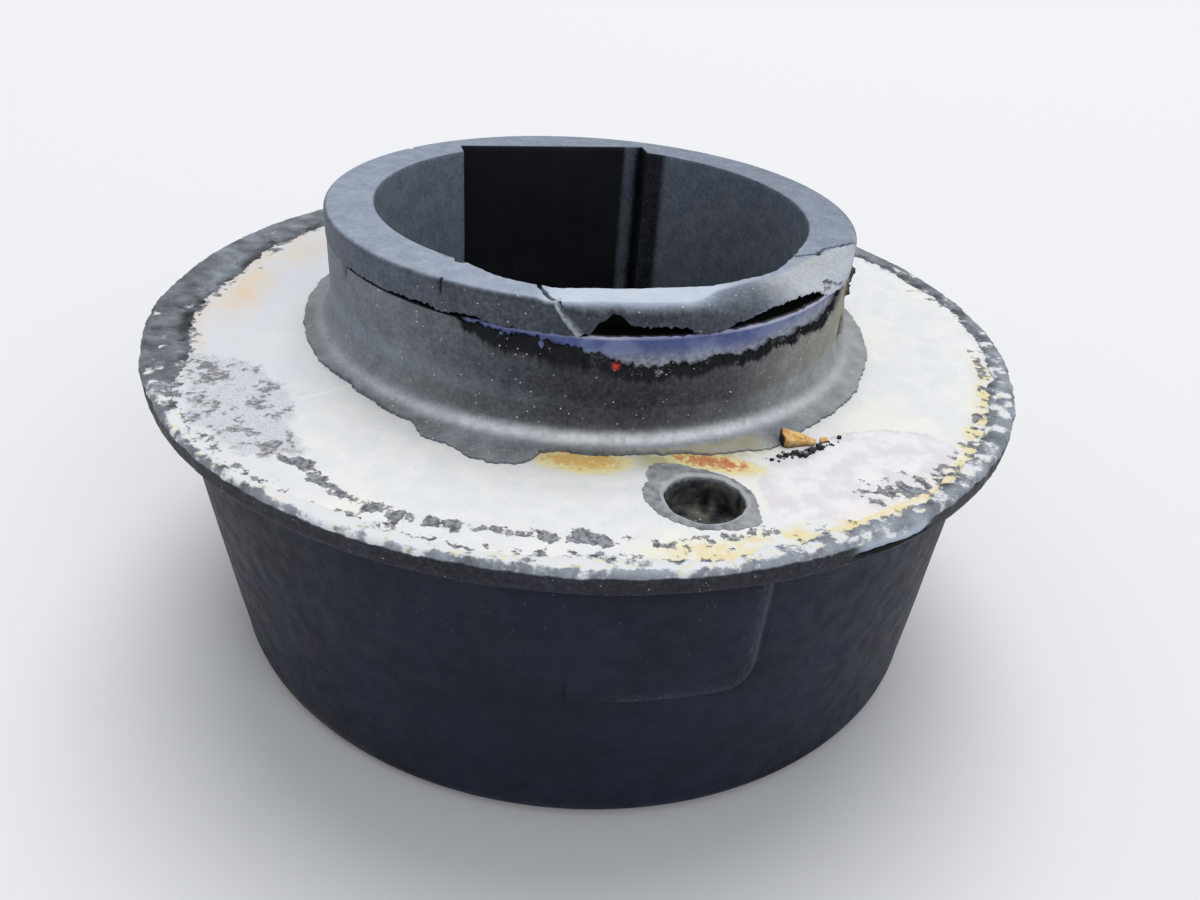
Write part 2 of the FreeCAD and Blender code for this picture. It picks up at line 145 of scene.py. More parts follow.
def lattice(points, size, seed):
    """Smooth seeded noise between -1 and 1 with features of the given size."""
    cell = points / size
    base = np.floor(cell).astype(np.int64)
    part = cell - base
    part = part * part * (3.0 - 2.0 * part)
    total = np.zeros(points.shape[:-1])
    for corner in np.ndindex(2, 2, 2):
        key = seed * 2654435761
        for axis, prime in enumerate((73856093, 19349663, 83492791)):
            key = key ^ ((base[..., axis] + corner[axis]) * prime)
        key = (key ^ (key >> 13)) * 1274126177
        value = ((key ^ (key >> 16)) & 0xFFFF) / 32767.5 - 1.0
        for axis in range(3):
            value = value * (part[..., axis] if corner[axis] else 1.0 - part[..., axis])
        total += value
    return total


def columns(step, zones=()):
    """Directions all round, a step apart, with the finer step of each zone (start, end, step) inside it."""
    spots = [-180.0]
    while True:
        here = spots[-1]
        ahead = here + min([step] + [zone[2] for zone in zones if zone[0] <= here < zone[1]])
        ahead = min([ahead] + [zone[0] for zone in zones if here < zone[0] < ahead])
        if ahead >= 180.0 - 1e-6:
            return np.array(spots)
        spots.append(ahead)


def rings_to_points(deg, rings):
    """Points of rings (radius, height), where a value is the same all round or differs by direction."""
    angle = np.radians(deg)
    r, z = (np.array([np.broadcast_to(ring[k], angle.shape) for ring in rings], dtype=float) for k in (0, 1))
    return np.stack([r * np.cos(angle), r * np.sin(angle), z], axis=-1)


def loop_faces(rows, cols, closed_rows=True):
    """Quads between the rows of a grid whose columns run all round."""
    index = np.arange(rows * cols).reshape(rows, cols)
    if closed_rows:
        index = np.concatenate([index, index[:1]])
    beside = np.roll(index, -1, axis=1)
    return np.stack([index[:-1], beside[:-1], beside[1:], index[1:]], axis=-1).reshape(-1, 4)


def outward(points, quads):
    """The quads, turned over if they face inward."""
    a, b, c, d = (points[quads[:, k]] for k in range(4))
    volume = np.einsum("ij,ij->i", a, np.cross(b, c)).sum() + np.einsum("ij,ij->i", a, np.cross(c, d)).sum()
    return quads if volume > 0 else quads[:, ::-1]


def path_distance(x, y, points):
    """Distance to the line through the points."""
    nearest = np.full(x.shape, np.inf)
    for (x1, y1), (x2, y2) in zip(points, points[1:]):
        ex, ey = x2 - x1, y2 - y1
        along = np.clip(((x - x1) * ex + (y - y1) * ey) / (ex * ex + ey * ey), 0.0, 1.0)
        nearest = np.minimum(nearest, (x - x1 - ex * along) ** 2 + (y - y1 - ey * along) ** 2)
    return np.sqrt(nearest)


def polygon_distance(x, y, corners):
    """Distance to a closed outline, negative inside it."""
    loop = corners + corners[:1]
    inside = np.zeros(x.shape, dtype=bool)
    for (x1, y1), (x2, y2) in zip(loop, loop[1:]):
        if y1 != y2:
            inside ^= ((y1 <= y) != (y2 <= y)) & (x < x1 + (x2 - x1) * (y - y1) / (y2 - y1))
    return path_distance(x, y, loop) * np.where(inside, -1.0, 1.0)


def oval_distance(x, y, centre, half, turn=0.0):
    """Rough distance to an oval with the given half sizes, negative inside it."""
    c, s = math.cos(math.radians(turn)), math.sin(math.radians(turn))
    u = ((x - centre[0]) * c + (y - centre[1]) * s) / half[0]
    v = (-(x - centre[0]) * s + (y - centre[1]) * c) / half[1]
    return (np.hypot(u, v) - 1.0) * min(half)


def soft_mask(distance, reach):
    """1 inside an outline and 0 outside it, fading over reach on both sides."""
    return np.clip(0.5 - distance / (2.0 * reach), 0.0, 1.0)


def span(row, start, end):
    """1 on the rows from start up to end, 0 on the others."""
    return ((row >= start) & (row < end)).astype(float)


def hump(value, centre, wide, power=2):
    """1 at the centre, falling away on both sides; flatter and steeper with a higher power."""
    return np.exp(-((value - centre) / wide) ** power)


def push(points, deg, distance):
    """Move rings of points away from the upright axis."""
    angle = np.radians(deg)
    away = np.stack([np.cos(angle), np.sin(angle), np.zeros_like(angle)], axis=-1)
    return points + away[None] * distance[..., None]


def write_masks(mesh, masks):
    for key, values in masks.items():
        layer = mesh.attributes.new(key, "FLOAT", "POINT")
        layer.data.foreach_set("value", np.clip(np.ravel(values), 0.0, 1.0).astype(np.float32))


def make_piece(name, points, faces, look, masks, sharp):
    """A visible piece; look holds its material, its material slot and the CAD node it replaces."""
    material, slot, node = look
    mesh = bpy.data.meshes.new(name)
    mesh.from_pydata((points * MM).tolist(), [], [list(face) for face in faces])
    mesh.validate()
    mesh.update()
    mesh.polygons.foreach_set("use_smooth", [True] * len(mesh.polygons))
    mesh.set_sharp_from_angle(angle=math.radians(sharp))
    write_masks(mesh, masks)
    mesh.materials.append(material)
    piece = bpy.data.objects.new(name, mesh)
    bpy.context.scene.collection.objects.link(piece)
    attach(piece, "root")
    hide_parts(node)
    return piece


def make_rings(name, points, look, masks, closed=True):
    """A visible piece from rings of points, each joined to the next."""
    spots = points.reshape(-1, 3)
    full = {key: np.broadcast_to(values, points.shape[:2]) for key, values in masks.items()}
    return make_piece(name, spots, outward(spots, loop_faces(*points.shape[:2], closed)), look, full, 38.0)


# ---------------- materials

def linear(red, green, blue):
    """A colour as it is seen, 0 to 255, in the linear values that the shader takes."""
    def one(value):
        value = value / 255.0
        return value / 12.92 if value <= 0.04045 else ((value + 0.055) / 1.055) ** 2.4
    return (one(red), one(green), one(blue), 1.0)


class Paint:
    """A node material written as plain calls, with the sizes of its noises in millimetres."""

    def __init__(self, name):
        self.material = bpy.data.materials.new(name)
        self.material.use_nodes = True
        self.tree = self.material.node_tree
        self.tree.nodes.clear()
        place = self.node("TexCoord", {}).outputs["Object"]
        self.place = self.node("VectorMath", {0: place, "Scale": 1000.0}, operation="SCALE").outputs["Vector"]

    def node(self, kind, inputs, **settings):
        """A node with its settings; each input is a plain value or the output of another node."""
        node = self.tree.nodes.new("ShaderNode" + kind)
        for name, value in settings.items():
            setattr(node, name, value)
        for key, value in inputs.items():
            if isinstance(value, bpy.types.NodeSocket):
                self.tree.links.new(value, node.inputs[key])
            else:
                node.inputs[key].default_value = value
        return node

    def noise(self, size, detail=3.0, rough=0.55, shift=(0.0, 0.0, 0.0), stretch=(1.0, 1.0, 1.0)):
        place = self.node("Mapping", {"Vector": self.place, "Location": shift, "Scale": stretch})
        return self.node("TexNoise", {"Vector": place.outputs["Vector"], "Scale": 1.0 / size,
                                      "Detail": detail, "Roughness": rough}).outputs["Fac"]

    def cells(self, size):
        return self.node("TexVoronoi", {"Vector": self.place, "Scale": 1.0 / size}).outputs["Distance"]

    def mask(self, name):
        return self.node("Attribute", {}, attribute_type="GEOMETRY", attribute_name=name).outputs["Fac"]

    def math(self, operation, values, clamp=False):
        total = values[0]
        for value in values[1:]:
            total = self.node("Math", {0: total, 1: value}, operation=operation, use_clamp=clamp).outputs[0]
        return total

    def plus(self, *values, clamp=False):
        return self.math("ADD", values, clamp)

    def less(self, *values):
        return self.math("SUBTRACT", values)

    def times(self, *values, clamp=False):
        return self.math("MULTIPLY", values, clamp)

    def most(self, *values):
        return self.math("MAXIMUM", values)

    def sway(self, noise, reach):
        """A noise turned into an offset on both sides of 0."""
        return self.times(self.less(noise, 0.5), reach)

    def fit(self, value, low, high, out_low=0.0, out_high=1.0):
        """A smooth step from out_low, where the value is low, to out_high, where it is high."""
        inputs = {"Value": value, "From Min": low, "From Max": high, "To Min": out_low, "To Max": out_high}
        return self.node("MapRange", inputs, interpolation_type="SMOOTHSTEP").outputs["Result"]

    def mix(self, amount, a, b):
        """Colour a turning to b; a plain colour is given as it is seen, 0 to 255."""
        a, b = (linear(*colour) if isinstance(colour, tuple) else colour for colour in (a, b))
        return self.node("Mix", {0: amount, 6: a, 7: b}, data_type="RGBA").outputs[2]

    def vary(self, noise, low, high, a, b, share=1.0):
        """Colour a where the noise is under low, turning to b, or to a share of b, where it is over high."""
        return self.mix(self.fit(noise, low, high, 0.0, share), a, b)

    def blotch(self, mask, noise, reach, edge):
        """A mask whose edge wanders with the noise."""
        spread = self.fit(self.plus(mask, self.sway(noise, reach)), 0.5 - edge, 0.5 + edge)
        return self.times(spread, self.fit(mask, 0.0, 0.04))

    def finish(self, colour, rough, height, depth, metal=0.0, specular=0.5):
        bump = self.node("Bump", {"Strength": 1.0, "Distance": depth * MM, "Height": height})
        shader = self.node("BsdfPrincipled", {
            "Base Color": colour, "Roughness": rough, "Metallic": metal, "Specular IOR Level": specular,
            "Normal": bump.outputs["Normal"]})
        self.node("OutputMaterial", {"Surface": shader.outputs["BSDF"]})
        return self.material


def rubber_paint():
    p = Paint("aged_rubber")
    broad = p.noise(7.0, 3.0)
    middle = p.noise(1.6, 4.0, 0.6)
    fine = p.noise(0.35, 3.0, 0.6)
    tiny = p.noise(0.14, 2.0, 0.6)
    dust_and_light = p.mask("dust_and_light")
    torn = p.mask("torn")
    painted_gap_shade = p.mask("painted_gap_shade")

    # clean rubber, with a painted navy reflection on the wall below the rim, then the dust on it
    bare = p.vary(broad, 0.35, 0.65, (17, 20, 28), (23, 26, 35))
    bare = p.mix(p.mask("painted_navy_reflection"), bare, p.vary(broad, 0.35, 0.65, (9, 16, 34), (14, 24, 46)))
    bare = p.vary(fine, 0.5, 0.75, bare, (38, 42, 54), 0.22)
    dusty = p.mix(p.mask("warm"), (166, 178, 199), (172, 166, 142))
    dusty = p.vary(middle, 0.38, 0.62, dusty, (206, 211, 220), 0.22)
    # on some pieces the dust mask also carries painted highlights and painted shade
    amount = p.plus(dust_and_light, p.sway(middle, 0.16), p.sway(fine, 0.30))
    amount = p.times(p.fit(amount, 0.0, 1.0), p.fit(dust_and_light, 0.0, 0.08))
    colour = p.mix(amount, bare, dusty)

    # painted highlights, torn rubber and grains of dirt
    painted_highlight = p.times(p.mask("painted_highlight"), p.fit(fine, 0.30, 0.62, 0.8, 1.0))
    colour = p.mix(painted_highlight, colour, (236, 239, 244))
    scrap = p.fit(p.plus(middle, p.times(tiny, 0.35)), 0.75, 0.82)
    ragged = p.mix(p.times(scrap, p.mask("scrap")), (24, 25, 29), (164, 167, 172))
    colour = p.mix(torn, colour, ragged)
    grains = p.less(1.0, p.fit(p.cells(0.55), 0.09, 0.14))
    grains = p.times(grains, p.fit(p.noise(1.3, 2.0, shift=(2.0, 8.0, 3.0)), 0.46, 0.60))
    colour = p.mix(p.times(grains, p.mask("speck")), colour, (226, 226, 220))

    # chalky remains on the rim, the pale face of the crack, painted shade in cracks and gaps, and one red
    # grain
    chalk = p.blotch(p.mask("white"), p.noise(1.6, 5.0, 0.62), 2.2, 0.13)
    chalky = p.noise(0.7, 3.0, 0.6, shift=(9.0, 2.0, 5.0))
    chalky = p.vary(chalky, 0.50, 0.70, (222, 225, 230), (228, 221, 192))
    colour = p.mix(chalk, colour, chalky)
    cut = p.vary(fine, 0.35, 0.65, (146, 158, 162), (190, 200, 203))
    colour = p.mix(p.mask("pale"), colour, cut)
    colour = p.mix(painted_gap_shade, colour, (3, 3, 4))
    colour = p.mix(p.mask("ember"), colour, (200, 66, 52))

    rough = p.plus(p.fit(middle, 0.3, 0.7, 0.50, 0.66), p.times(amount, 0.22), clamp=True)
    rough = p.plus(rough, p.times(torn, 0.2), clamp=True)
    rough = p.most(rough, painted_gap_shade)
    height = p.plus(p.times(middle, 0.5), p.times(fine, 0.35), p.times(tiny, torn, 0.8))
    return p.finish(colour, rough, height, 0.08, specular=0.25)


def steel_paint():
    p = Paint("plated_steel")
    broad = p.noise(9.0, 3.0)
    middle = p.noise(2.2, 4.0, 0.6)
    fine = p.noise(0.5, 4.0, 0.62)
    tiny = p.noise(0.18, 2.0, 0.6)
    brushed = p.noise(0.5, 2.0, 0.6, stretch=(1.0, 1.0, 5.0))
    stain = p.mask("rust")
    bare_tube = p.mask("bare_tube")
    dark_end_face = p.mask("dark_end_face")

    # the plated face and its tints
    plate = p.vary(broad, 0.38, 0.62, (235, 233, 226), (224, 227, 231))
    plate = p.vary(middle, 0.40, 0.66, plate, (240, 239, 236), 0.45)
    plate = p.vary(fine, 0.60, 0.72, plate, (190, 192, 194), 0.30)
    plate = p.mix(p.times(p.mask("cool"), 0.7), plate, (206, 212, 222))
    for name, low, high, tint in (("olive", 0.30, 0.52, (196, 190, 146)),
                                  ("yellow", 0.36, 0.58, (229, 214, 165)),
                                  ("tan", 0.25, 0.60, (224, 203, 180))):
        plate = p.mix(p.times(p.mask(name), p.fit(middle, low, high)), plate, tint)
    pink = p.blotch(p.mask("pink"), middle, 0.5, 0.06)
    rosy = p.vary(middle, 0.40, 0.62, (219, 214, 222), (234, 232, 236))
    plate = p.mix(p.times(pink, 0.8), plate, rosy)

    # white corrosion, then the rust stains with their pale halo
    bloom = p.blotch(p.mask("bloom"), p.noise(2.4, 5.0, 0.62), 1.3, 0.16)
    crust = p.noise(1.8, 5.0, 0.68, shift=(3.0, 7.0, 1.0))
    crust = p.vary(crust, 0.505, 0.565, (206, 209, 217), (122, 124, 129))
    crust = p.vary(fine, 0.45, 0.62, crust, (222, 222, 226), 0.5)
    crust = p.vary(tiny, 0.52, 0.66, crust, (140, 140, 146), 0.45)
    plate = p.mix(bloom, plate, crust)
    halo = p.blotch(stain, p.noise(1.6, 4.0, 0.6), 0.8, 0.30)
    plate = p.mix(p.times(halo, 0.7), plate, (214, 206, 160))
    rust = p.blotch(stain, p.noise(0.9, 4.0, 0.6), 1.0, 0.12)
    core = p.fit(p.plus(stain, p.sway(fine, 1.7)), 0.60, 1.05)
    rusty = p.mix(core, (240, 226, 168), (232, 186, 106))
    rusty = p.mix(p.times(p.mask("red"), core), rusty, (206, 122, 78))
    plate = p.mix(p.times(rust, p.fit(middle, 0.25, 0.55, 0.70, 0.95)), plate, rusty)

    # rubber left on the face, a scratch, and the line round the pink patch
    residue = p.blotch(p.mask("residue"), p.noise(1.3, 5.0, 0.64, shift=(5.0, 1.0, 2.0)), 2.1, 0.07)
    plate = p.mix(residue, plate, p.vary(fine, 0.38, 0.60, (92, 94, 100), (150, 153, 160)))
    plate = p.mix(p.mask("scratch"), plate, (246, 243, 232))
    line = p.fit(p.plus(p.mask("line"), p.sway(fine, 0.6)), 0.30, 0.95)
    plate = p.mix(p.times(line, 0.6), plate, (84, 82, 80))

    # the bare tube: a painted blue reflection, greyer low down, a painted highlight along its end, and dark
    # on its end face
    painted_blue_reflection = p.noise(2.6, 2.0, shift=(1.0, 4.0, 0.0))
    painted_blue_reflection = p.vary(painted_blue_reflection, 0.42, 0.60, (80, 92, 146), (112, 126, 166))
    grey = p.vary(fine, 0.4, 0.6, (132, 138, 156), (172, 175, 186))
    painted_blue_reflection = p.mix(p.mask("low"), painted_blue_reflection, grey)
    painted_blue_reflection = p.vary(brushed, 0.52, 0.72, painted_blue_reflection, (122, 116, 120), 0.7)
    colour = p.mix(bare_tube, plate, painted_blue_reflection)
    # a painted highlight along the tube's end
    colour = p.mix(p.mask("painted_end_highlight"), colour, (216, 214, 232))
    # the tube's end face inside its outer edge is made near black
    colour = p.mix(dark_end_face, colour, (8, 9, 12))

    marks = p.most(bloom, rust, residue)
    metal = p.plus(p.times(p.less(1.0, marks), 0.10), p.times(bare_tube, 0.45))
    metal = p.times(metal, p.less(1.0, dark_end_face), clamp=True)
    rough = p.plus(p.fit(middle, 0.3, 0.7, 0.48, 0.62), p.times(marks, 0.3), clamp=True)
    rough = p.most(p.less(rough, p.times(bare_tube, 0.2)), dark_end_face)
    height = p.plus(p.times(middle, 0.3), p.times(fine, 0.25), p.times(tiny, marks, 0.9))
    height = p.plus(height, p.times(residue, 0.5), p.times(bloom, 0.15))
    return p.finish(colour, rough, height, 0.10, metal=metal, specular=0.32)


def base_steel_paint():
    p = Paint("end_plate_steel")
    broad = p.noise(6.0, 3.0)
    fine = p.noise(0.6, 4.0, 0.62)
    colour = p.vary(broad, 0.38, 0.62, (150, 152, 154), (176, 177, 176))
    colour = p.vary(fine, 0.56, 0.70, colour, (110, 108, 104), 0.6)
    rough = p.fit(fine, 0.3, 0.7, 0.42, 0.62)
    return p.finish(colour, rough, fine, 0.05, metal=p.fit(broad, 0.3, 0.7, 0.55, 0.75))


def flake_paint():
    p = Paint("rust_flake")
    middle = p.noise(0.8, 3.0, 0.6)
    fine = p.noise(0.25, 3.0, 0.6)
    colour = p.vary(middle, 0.40, 0.60, (234, 198, 128), (218, 168, 92))
    colour = p.vary(fine, 0.58, 0.70, colour, (120, 92, 60), 0.6)
    # painted shade on the low sides and the left edge
    colour = p.mix(p.mask("shade"), colour, (34, 28, 22))
    return p.finish(colour, p.fit(fine, 0.3, 0.7, 0.75, 0.95), p.plus(middle, fine), 0.12)


# material, material slot and replaced node of each kind of piece
RUBBER = (rubber_paint(), "rubber", "rubber_body")
STEEL = (steel_paint(), "collar_steel", "flanged_collar")
BASE_STEEL = (base_steel_paint(), "base_steel", "end_plate")
FLAKE = (flake_paint(), "collar_steel", "flanged_collar")


# ---------------- shared outlines

def off_flat(deg):
    """Direction seen from the middle of the nearest flat of the bore."""
    return ((deg - FLAT_DEG + 90.0) % 180.0) - 90.0


def bore_radius(deg):
    """The bore: round, with a flat on each of two sides and a short step at each end of a flat."""
    off = np.radians(off_flat(deg))
    flat = FLAT_OFF / np.cos(off)
    side = FLAT_HALF / np.maximum(np.abs(np.sin(off)), 0.3)
    return np.where(np.abs(off) < FLAT_CORNER, flat, np.where(np.abs(off) < FLAT_LEAVE, side, BORE_R))


def corner_zones():
    """Zones of fine columns at the corners of the bore."""
    corner, leave = math.degrees(FLAT_CORNER), math.degrees(FLAT_LEAVE)
    spots = [FLAT_DEG + turn + off for turn in (0.0, 180.0) for off in (-leave, -corner, corner, leave)]
    return [(spot - 0.3, spot + 0.3, 0.1) for spot in spots]


def bore_dust_and_light(deg):
    """Dust in the bore, little on the flats, with painted shade on one stretch and a painted highlight strip
    beside it.
    """
    level = follow(deg, [
        (180, 0.46), (150, 0.44), (60, 0.40), (0, 0.40), (-30, 0.3), (-120, 0.4), (-150, 0.46)])
    shade = 1.0 - 0.75 * band(deg, 68.0, 76.5, 1.2)
    strip = 0.30 * band(deg, 78.0, 81.5, 0.8)
    return (level * ease(np.abs(off_flat(deg)), 27.0, 31.0) + 0.02) * shade + strip


def rim_edge(deg):
    """Inner edge of the rubber band that still covers the rim of the flange."""
    return follow(deg, [
        (174, 36.4), (150, 37.2), (120, 37.6), (90, 37.8), (60, 38.2), (30, 39.2), (10, 39.9), (0, 40.0),
        (-10, 39.6), (-17, 39.1), (-25, 39.5), (-35, 39.8), (-45, 40.1), (-55, 40.1), (-62, 39.8),
        (-75, 40.1), (-90, 39.9), (-100, 40.1), (-110, 39.8), (-120, 40.2), (-130, 40.4), (-140, 40.4),
        (-146, 40.0), (-150, 39.0), (-154, 37.9), (-157, 37.5), (-170, 37.6)])


def foot_edge(deg):
    """Outer edge of the rubber skin that runs out from the foot of the neck."""
    return follow(deg, [
        (-175, 27.5), (-149, 27.0), (-138, 26.6), (-126, 26.8), (-119.5, 27.0), (-117.5, 27.8), (-115, 28.5),
        (-111.5, 28.4), (-109, 28.7), (-106, 29.3), (-102.5, 29.3), (-99, 28.8), (-97.2, 28.2), (-96, 26.9),
        (-92, 26.6), (-80, 26.6), (-73, 26.8), (-66, 27.6), (-57, 28.6), (-50, 28.1), (-43, 27.9),
        (-24, 27.8), (-7, 27.9), (30, 27.8), (90, 27.8), (150, 27.6)])


def skin_top(deg):
    """Top edge of the rubber left on the tube; it drops where the band has peeled off."""
    level = follow(deg, [
        (-148, SEAM_Z), (-146.5, 39.74), (-114, 39.72), (-112.5, 39.3), (-108, 39.2), (-104, 39.25),
        (-100, 39.1), (-95, 38.85), (-90, 38.5), (-86, 37.9), (-83, 37.5), (-80, 37.3), (-76, 37.0),
        (-72, 37.4), (-68, 37.1), (-64, 37.6), (-58, 37.3), (-52, 37.6), (-48, 37.9), (-44, 37.6),
        (-40, 37.9), (-36, 37.5), (-32, 37.7), (-28, 38.1), (-25, 38.8), (-23.5, SEAM_Z), (0, SEAM_Z),
        (120, SEAM_Z)])
    uneven = 0.10 * ripple(deg, 30, 110, 11) + 0.10 * ripple(deg, 110, 420, 12, 0.4)
    return level + band(deg, -112, -27, 2.0) * uneven


def lip_bottom(deg):
    """Lower edge of the lip; it lifts where the lip has split from the neck."""
    level = follow(deg, [
        (-148, SEAM_Z), (-146.5, 39.84), (-140, 40.00), (-132, 39.98), (-126, 40.14), (-120, 40.18),
        (-117.5, 39.94), (-114, 40.14), (-110, 40.22), (-106.5, 39.96), (-100, 39.90), (-94, 39.84),
        (-90.2, 39.80), (-89.2, 39.9), (-88.5, 40.4), (-87.6, 41.0), (-86.4, 41.35), (-85.0, 41.9),
        (-84.1, 41.8), (-83.2, 41.4), (-82.0, 40.9), (-80, 40.8), (-76, 40.7), (-73, 40.65), (-71, 40.5),
        (-69.6, 40.0), (-68, 39.8), (-66, 39.9), (-64, 40.15), (-61.5, 40.45), (-58, 40.85), (-54, 41.15),
        (-50, 41.35), (-46, 41.4), (-42, 41.3), (-39, 41.0), (-37, 40.5), (-34, 40.1), (-28, 39.9),
        (-25, 39.75), (-23.5, SEAM_Z), (0, SEAM_Z), (120, SEAM_Z)])
    uneven = 0.04 * ripple(deg, 30, 110, 21) + 0.04 * ripple(deg, 110, 400, 22, 0.4)
    return level + band(deg, -144, -27, 2.0) * uneven


# ---------------- rubber body below the flange

def make_wall():
    """The outer wall, from the base up to the worn band over the rim of the flange, and its hidden inside."""
    deg = columns(0.5, [(-104.5, -99.0, 0.2), (-69.5, -65.0, 0.1)])
    rings = [(SEAT_R, 0.0), (BASE_R - 0.5, 0.0), (BASE_R, 0.0)]
    for turn in np.radians(np.linspace(12.0, 84.0, 6)):
        rings.append((BASE_R + BASE_ROUND * math.sin(turn), BASE_ROUND - BASE_ROUND * math.cos(turn)))
    wall_from = len(rings)
    heights = [*np.arange(BASE_ROUND, 13.8, 0.6), *np.arange(14.0, 18.8, 0.2), *np.arange(19.0, FLARE_Z, 0.5)]
    for z in heights + [FLARE_Z]:
        rings.append((WALL_R + WALL_SPREAD * (z - BASE_ROUND) / WALL_TALL, z))
    for turn in np.radians(np.linspace(12.0, 90.0, 8)):
        rings.append((FLARE_R - FLARE_BEND * math.cos(turn), FLARE_Z + FLARE_BEND * math.sin(turn)))
    rings += [(RIM_R - 0.35, RIM_Z + 0.12), (RIM_R - 0.12, RIM_Z + 0.26)]
    worn = 0.06 * ripple(deg, 8, 60, 31) + 0.04 * ripple(deg, 60, 340, 32, 0.5)
    for z in (29.1, 29.4, 29.7, 30.0, 30.25, 30.45):
        rings.append((RIM_R + worn * (z - RIM_Z) / RIM_TALL, z))
    rim_from = len(rings) - 1
    rings += [(RIM_R - 0.10 + worn, 30.64), (RIM_R - 0.32 + worn, 30.78)]
    skin_from = len(rings)
    edge = rim_edge(deg) + 0.16 * ripple(deg, 12, 70, 33) + 0.10 * ripple(deg, 70, 420, 34, 0.4)
    edge = np.minimum(edge, PLATE_R - 0.35)
    start = RIM_R - 0.5
    for step in (0.0, 0.12, 0.25, 0.4, 0.55, 0.7, 0.82, 0.92, 1.0):
        rings.append((start + (edge - start) * step, SKIN_Z - 0.02 - 0.10 * step))
    skin_to = len(rings)
    rings += [(edge - 0.03, PLATE_Z + 0.06), (edge - 0.05, PLATE_Z - 0.15), (UNDER_R, PLATE_UNDER_Z + 0.7),
              (UNDER_R, PIN_UNDER_Z - 0.2), (HIDDEN_R, PIN_UNDER_Z - 0.4), (HIDDEN_R, END_PLATE_Z),
              (SEAT_R, END_PLATE_Z)]
    points = rings_to_points(deg, rings)
    row = np.arange(len(rings))[:, None]
    z = points[..., 2]
    lean = BASE_SHIFT * (1.0 - np.clip(z / FLARE_Z, 0.0, 1.0))
    lean[[0, -3, -2, -1]] = 0.0    # the seat round the end plate stays centred
    points[..., 0] += lean

    # the raised pad on the front, with two rounded corners, and the wall's own unevenness
    arc = (deg - PAD_DEG) * DEGREE * PAD_R
    across = np.abs(arc) - (PAD_HALF_DEG * DEGREE * PAD_R - PAD_CORNER)
    below = (PAD_LOW_Z + PAD_CORNER) - z
    corner = (across > 0) & (below > 0)
    inside = np.where(corner, np.hypot(across, below), np.maximum(across, below)) - PAD_CORNER
    soft = np.where(arc < -4.0, 4.5, 0.9)
    proud = PAD_RISE * ease(-inside, 0.0, soft) - 0.06 * band(inside, 0.1, 0.5, 0.25) * (arc > 0)
    proud = proud * (1.0 - ease(z, 26.9, 28.4)) * (z > 5.0)
    bumps = 0.07 * lattice(points, 11.0, 5) + 0.025 * lattice(points, 2.4, 6)
    points = push(points, deg, (proud + bumps) * span(row, wall_from, rim_from))
    grain = 0.03 * lattice(points, 0.9, 7) + 0.02 * lattice(points, 0.4, 8)
    points[..., 2] += span(row, skin_from, skin_to) * grain

    r = np.hypot(points[..., 0], points[..., 1])
    rim_face = ((z > 28.75) & (row < skin_to)).astype(float)
    rim_top = span(row, rim_from, skin_to + 1)
    side = follow(deg, [
        (-180, 0.48), (-160, 0.47), (-150, 0.54), (-120, 0.64), (-90, 0.70), (-60, 0.70), (-20, 0.66),
        (20, 0.55), (90, 0.5), (150, 0.55)])
    mottle = 0.13 * lattice(points, 1.7, 35) + 0.12 * lattice(points, 0.6, 36)
    # the last term lightens the two rows at the skin's edge: painted light over the shade of its small step
    dust_and_light = 0.01 + 0.08 * rim_face + rim_top * (side - 0.18 + mottle) + 0.34 * span(row, skin_to, skin_to + 2)
    seam = ease(edge + 1.1 - r, 0.0, 0.9) * (0.5 + 0.5 * lattice(points, 0.9, 37))
    dust_and_light = dust_and_light - rim_top * 0.30 * seam
    # a painted highlight along the pad's right edge
    dust_and_light = dust_and_light + 0.15 * ease(inside, -2.4, -0.1) * (inside < 0.1) * (arc > 0.0) * (z > 12.0) * (z < 27.5)
    dust_and_light = dust_and_light + 0.05 * band(z, 27.6, 28.7, 0.3)
    brown = band(deg, -165, -120, 10.0) * (1.0 - ease(z, 0.5, 4.0)) * (row > 2) * 0.20
    front = follow(deg, [
        (-180, 0.05), (-160, 0.10), (-150, 0.44), (-138, 0.66), (-120, 0.70), (-105, 0.68), (-90, 0.70),
        (-70, 0.58), (-50, 0.48), (-20, 0.42), (10, 0.26), (60, 0.1), (150, 0.02)])

    # a short stretch of the rim that has peeled, with a gap under it that is painted dark as shade
    lifted = band(deg, -60.5, -50.5, 1.2) * (row < skin_to)
    peel = lifted * band(z, 29.75, 30.4, 0.12)
    under = lifted * band(z, 29.15, 29.65, 0.12)
    points = push(points, deg, peel * 0.25 - under * 0.35)
    make_rings("rubber_wall", points, RUBBER, {
        "dust_and_light": dust_and_light + peel * 0.75 + brown, "warm": 0.25 * rim_top + (brown > 0.02), "painted_gap_shade": under,
        "white": rim_top * front * (1.0 - 0.42 * ease(r, 40.9, 41.3)),
        # the wall below the rim takes the painted navy reflection
        "speck": 0.25 * rim_face + 0.08 * (z > 20.0), "painted_navy_reflection": (row > 2) * (z < 28.9)})


# ---------------- rubber neck on the tube, and the bore

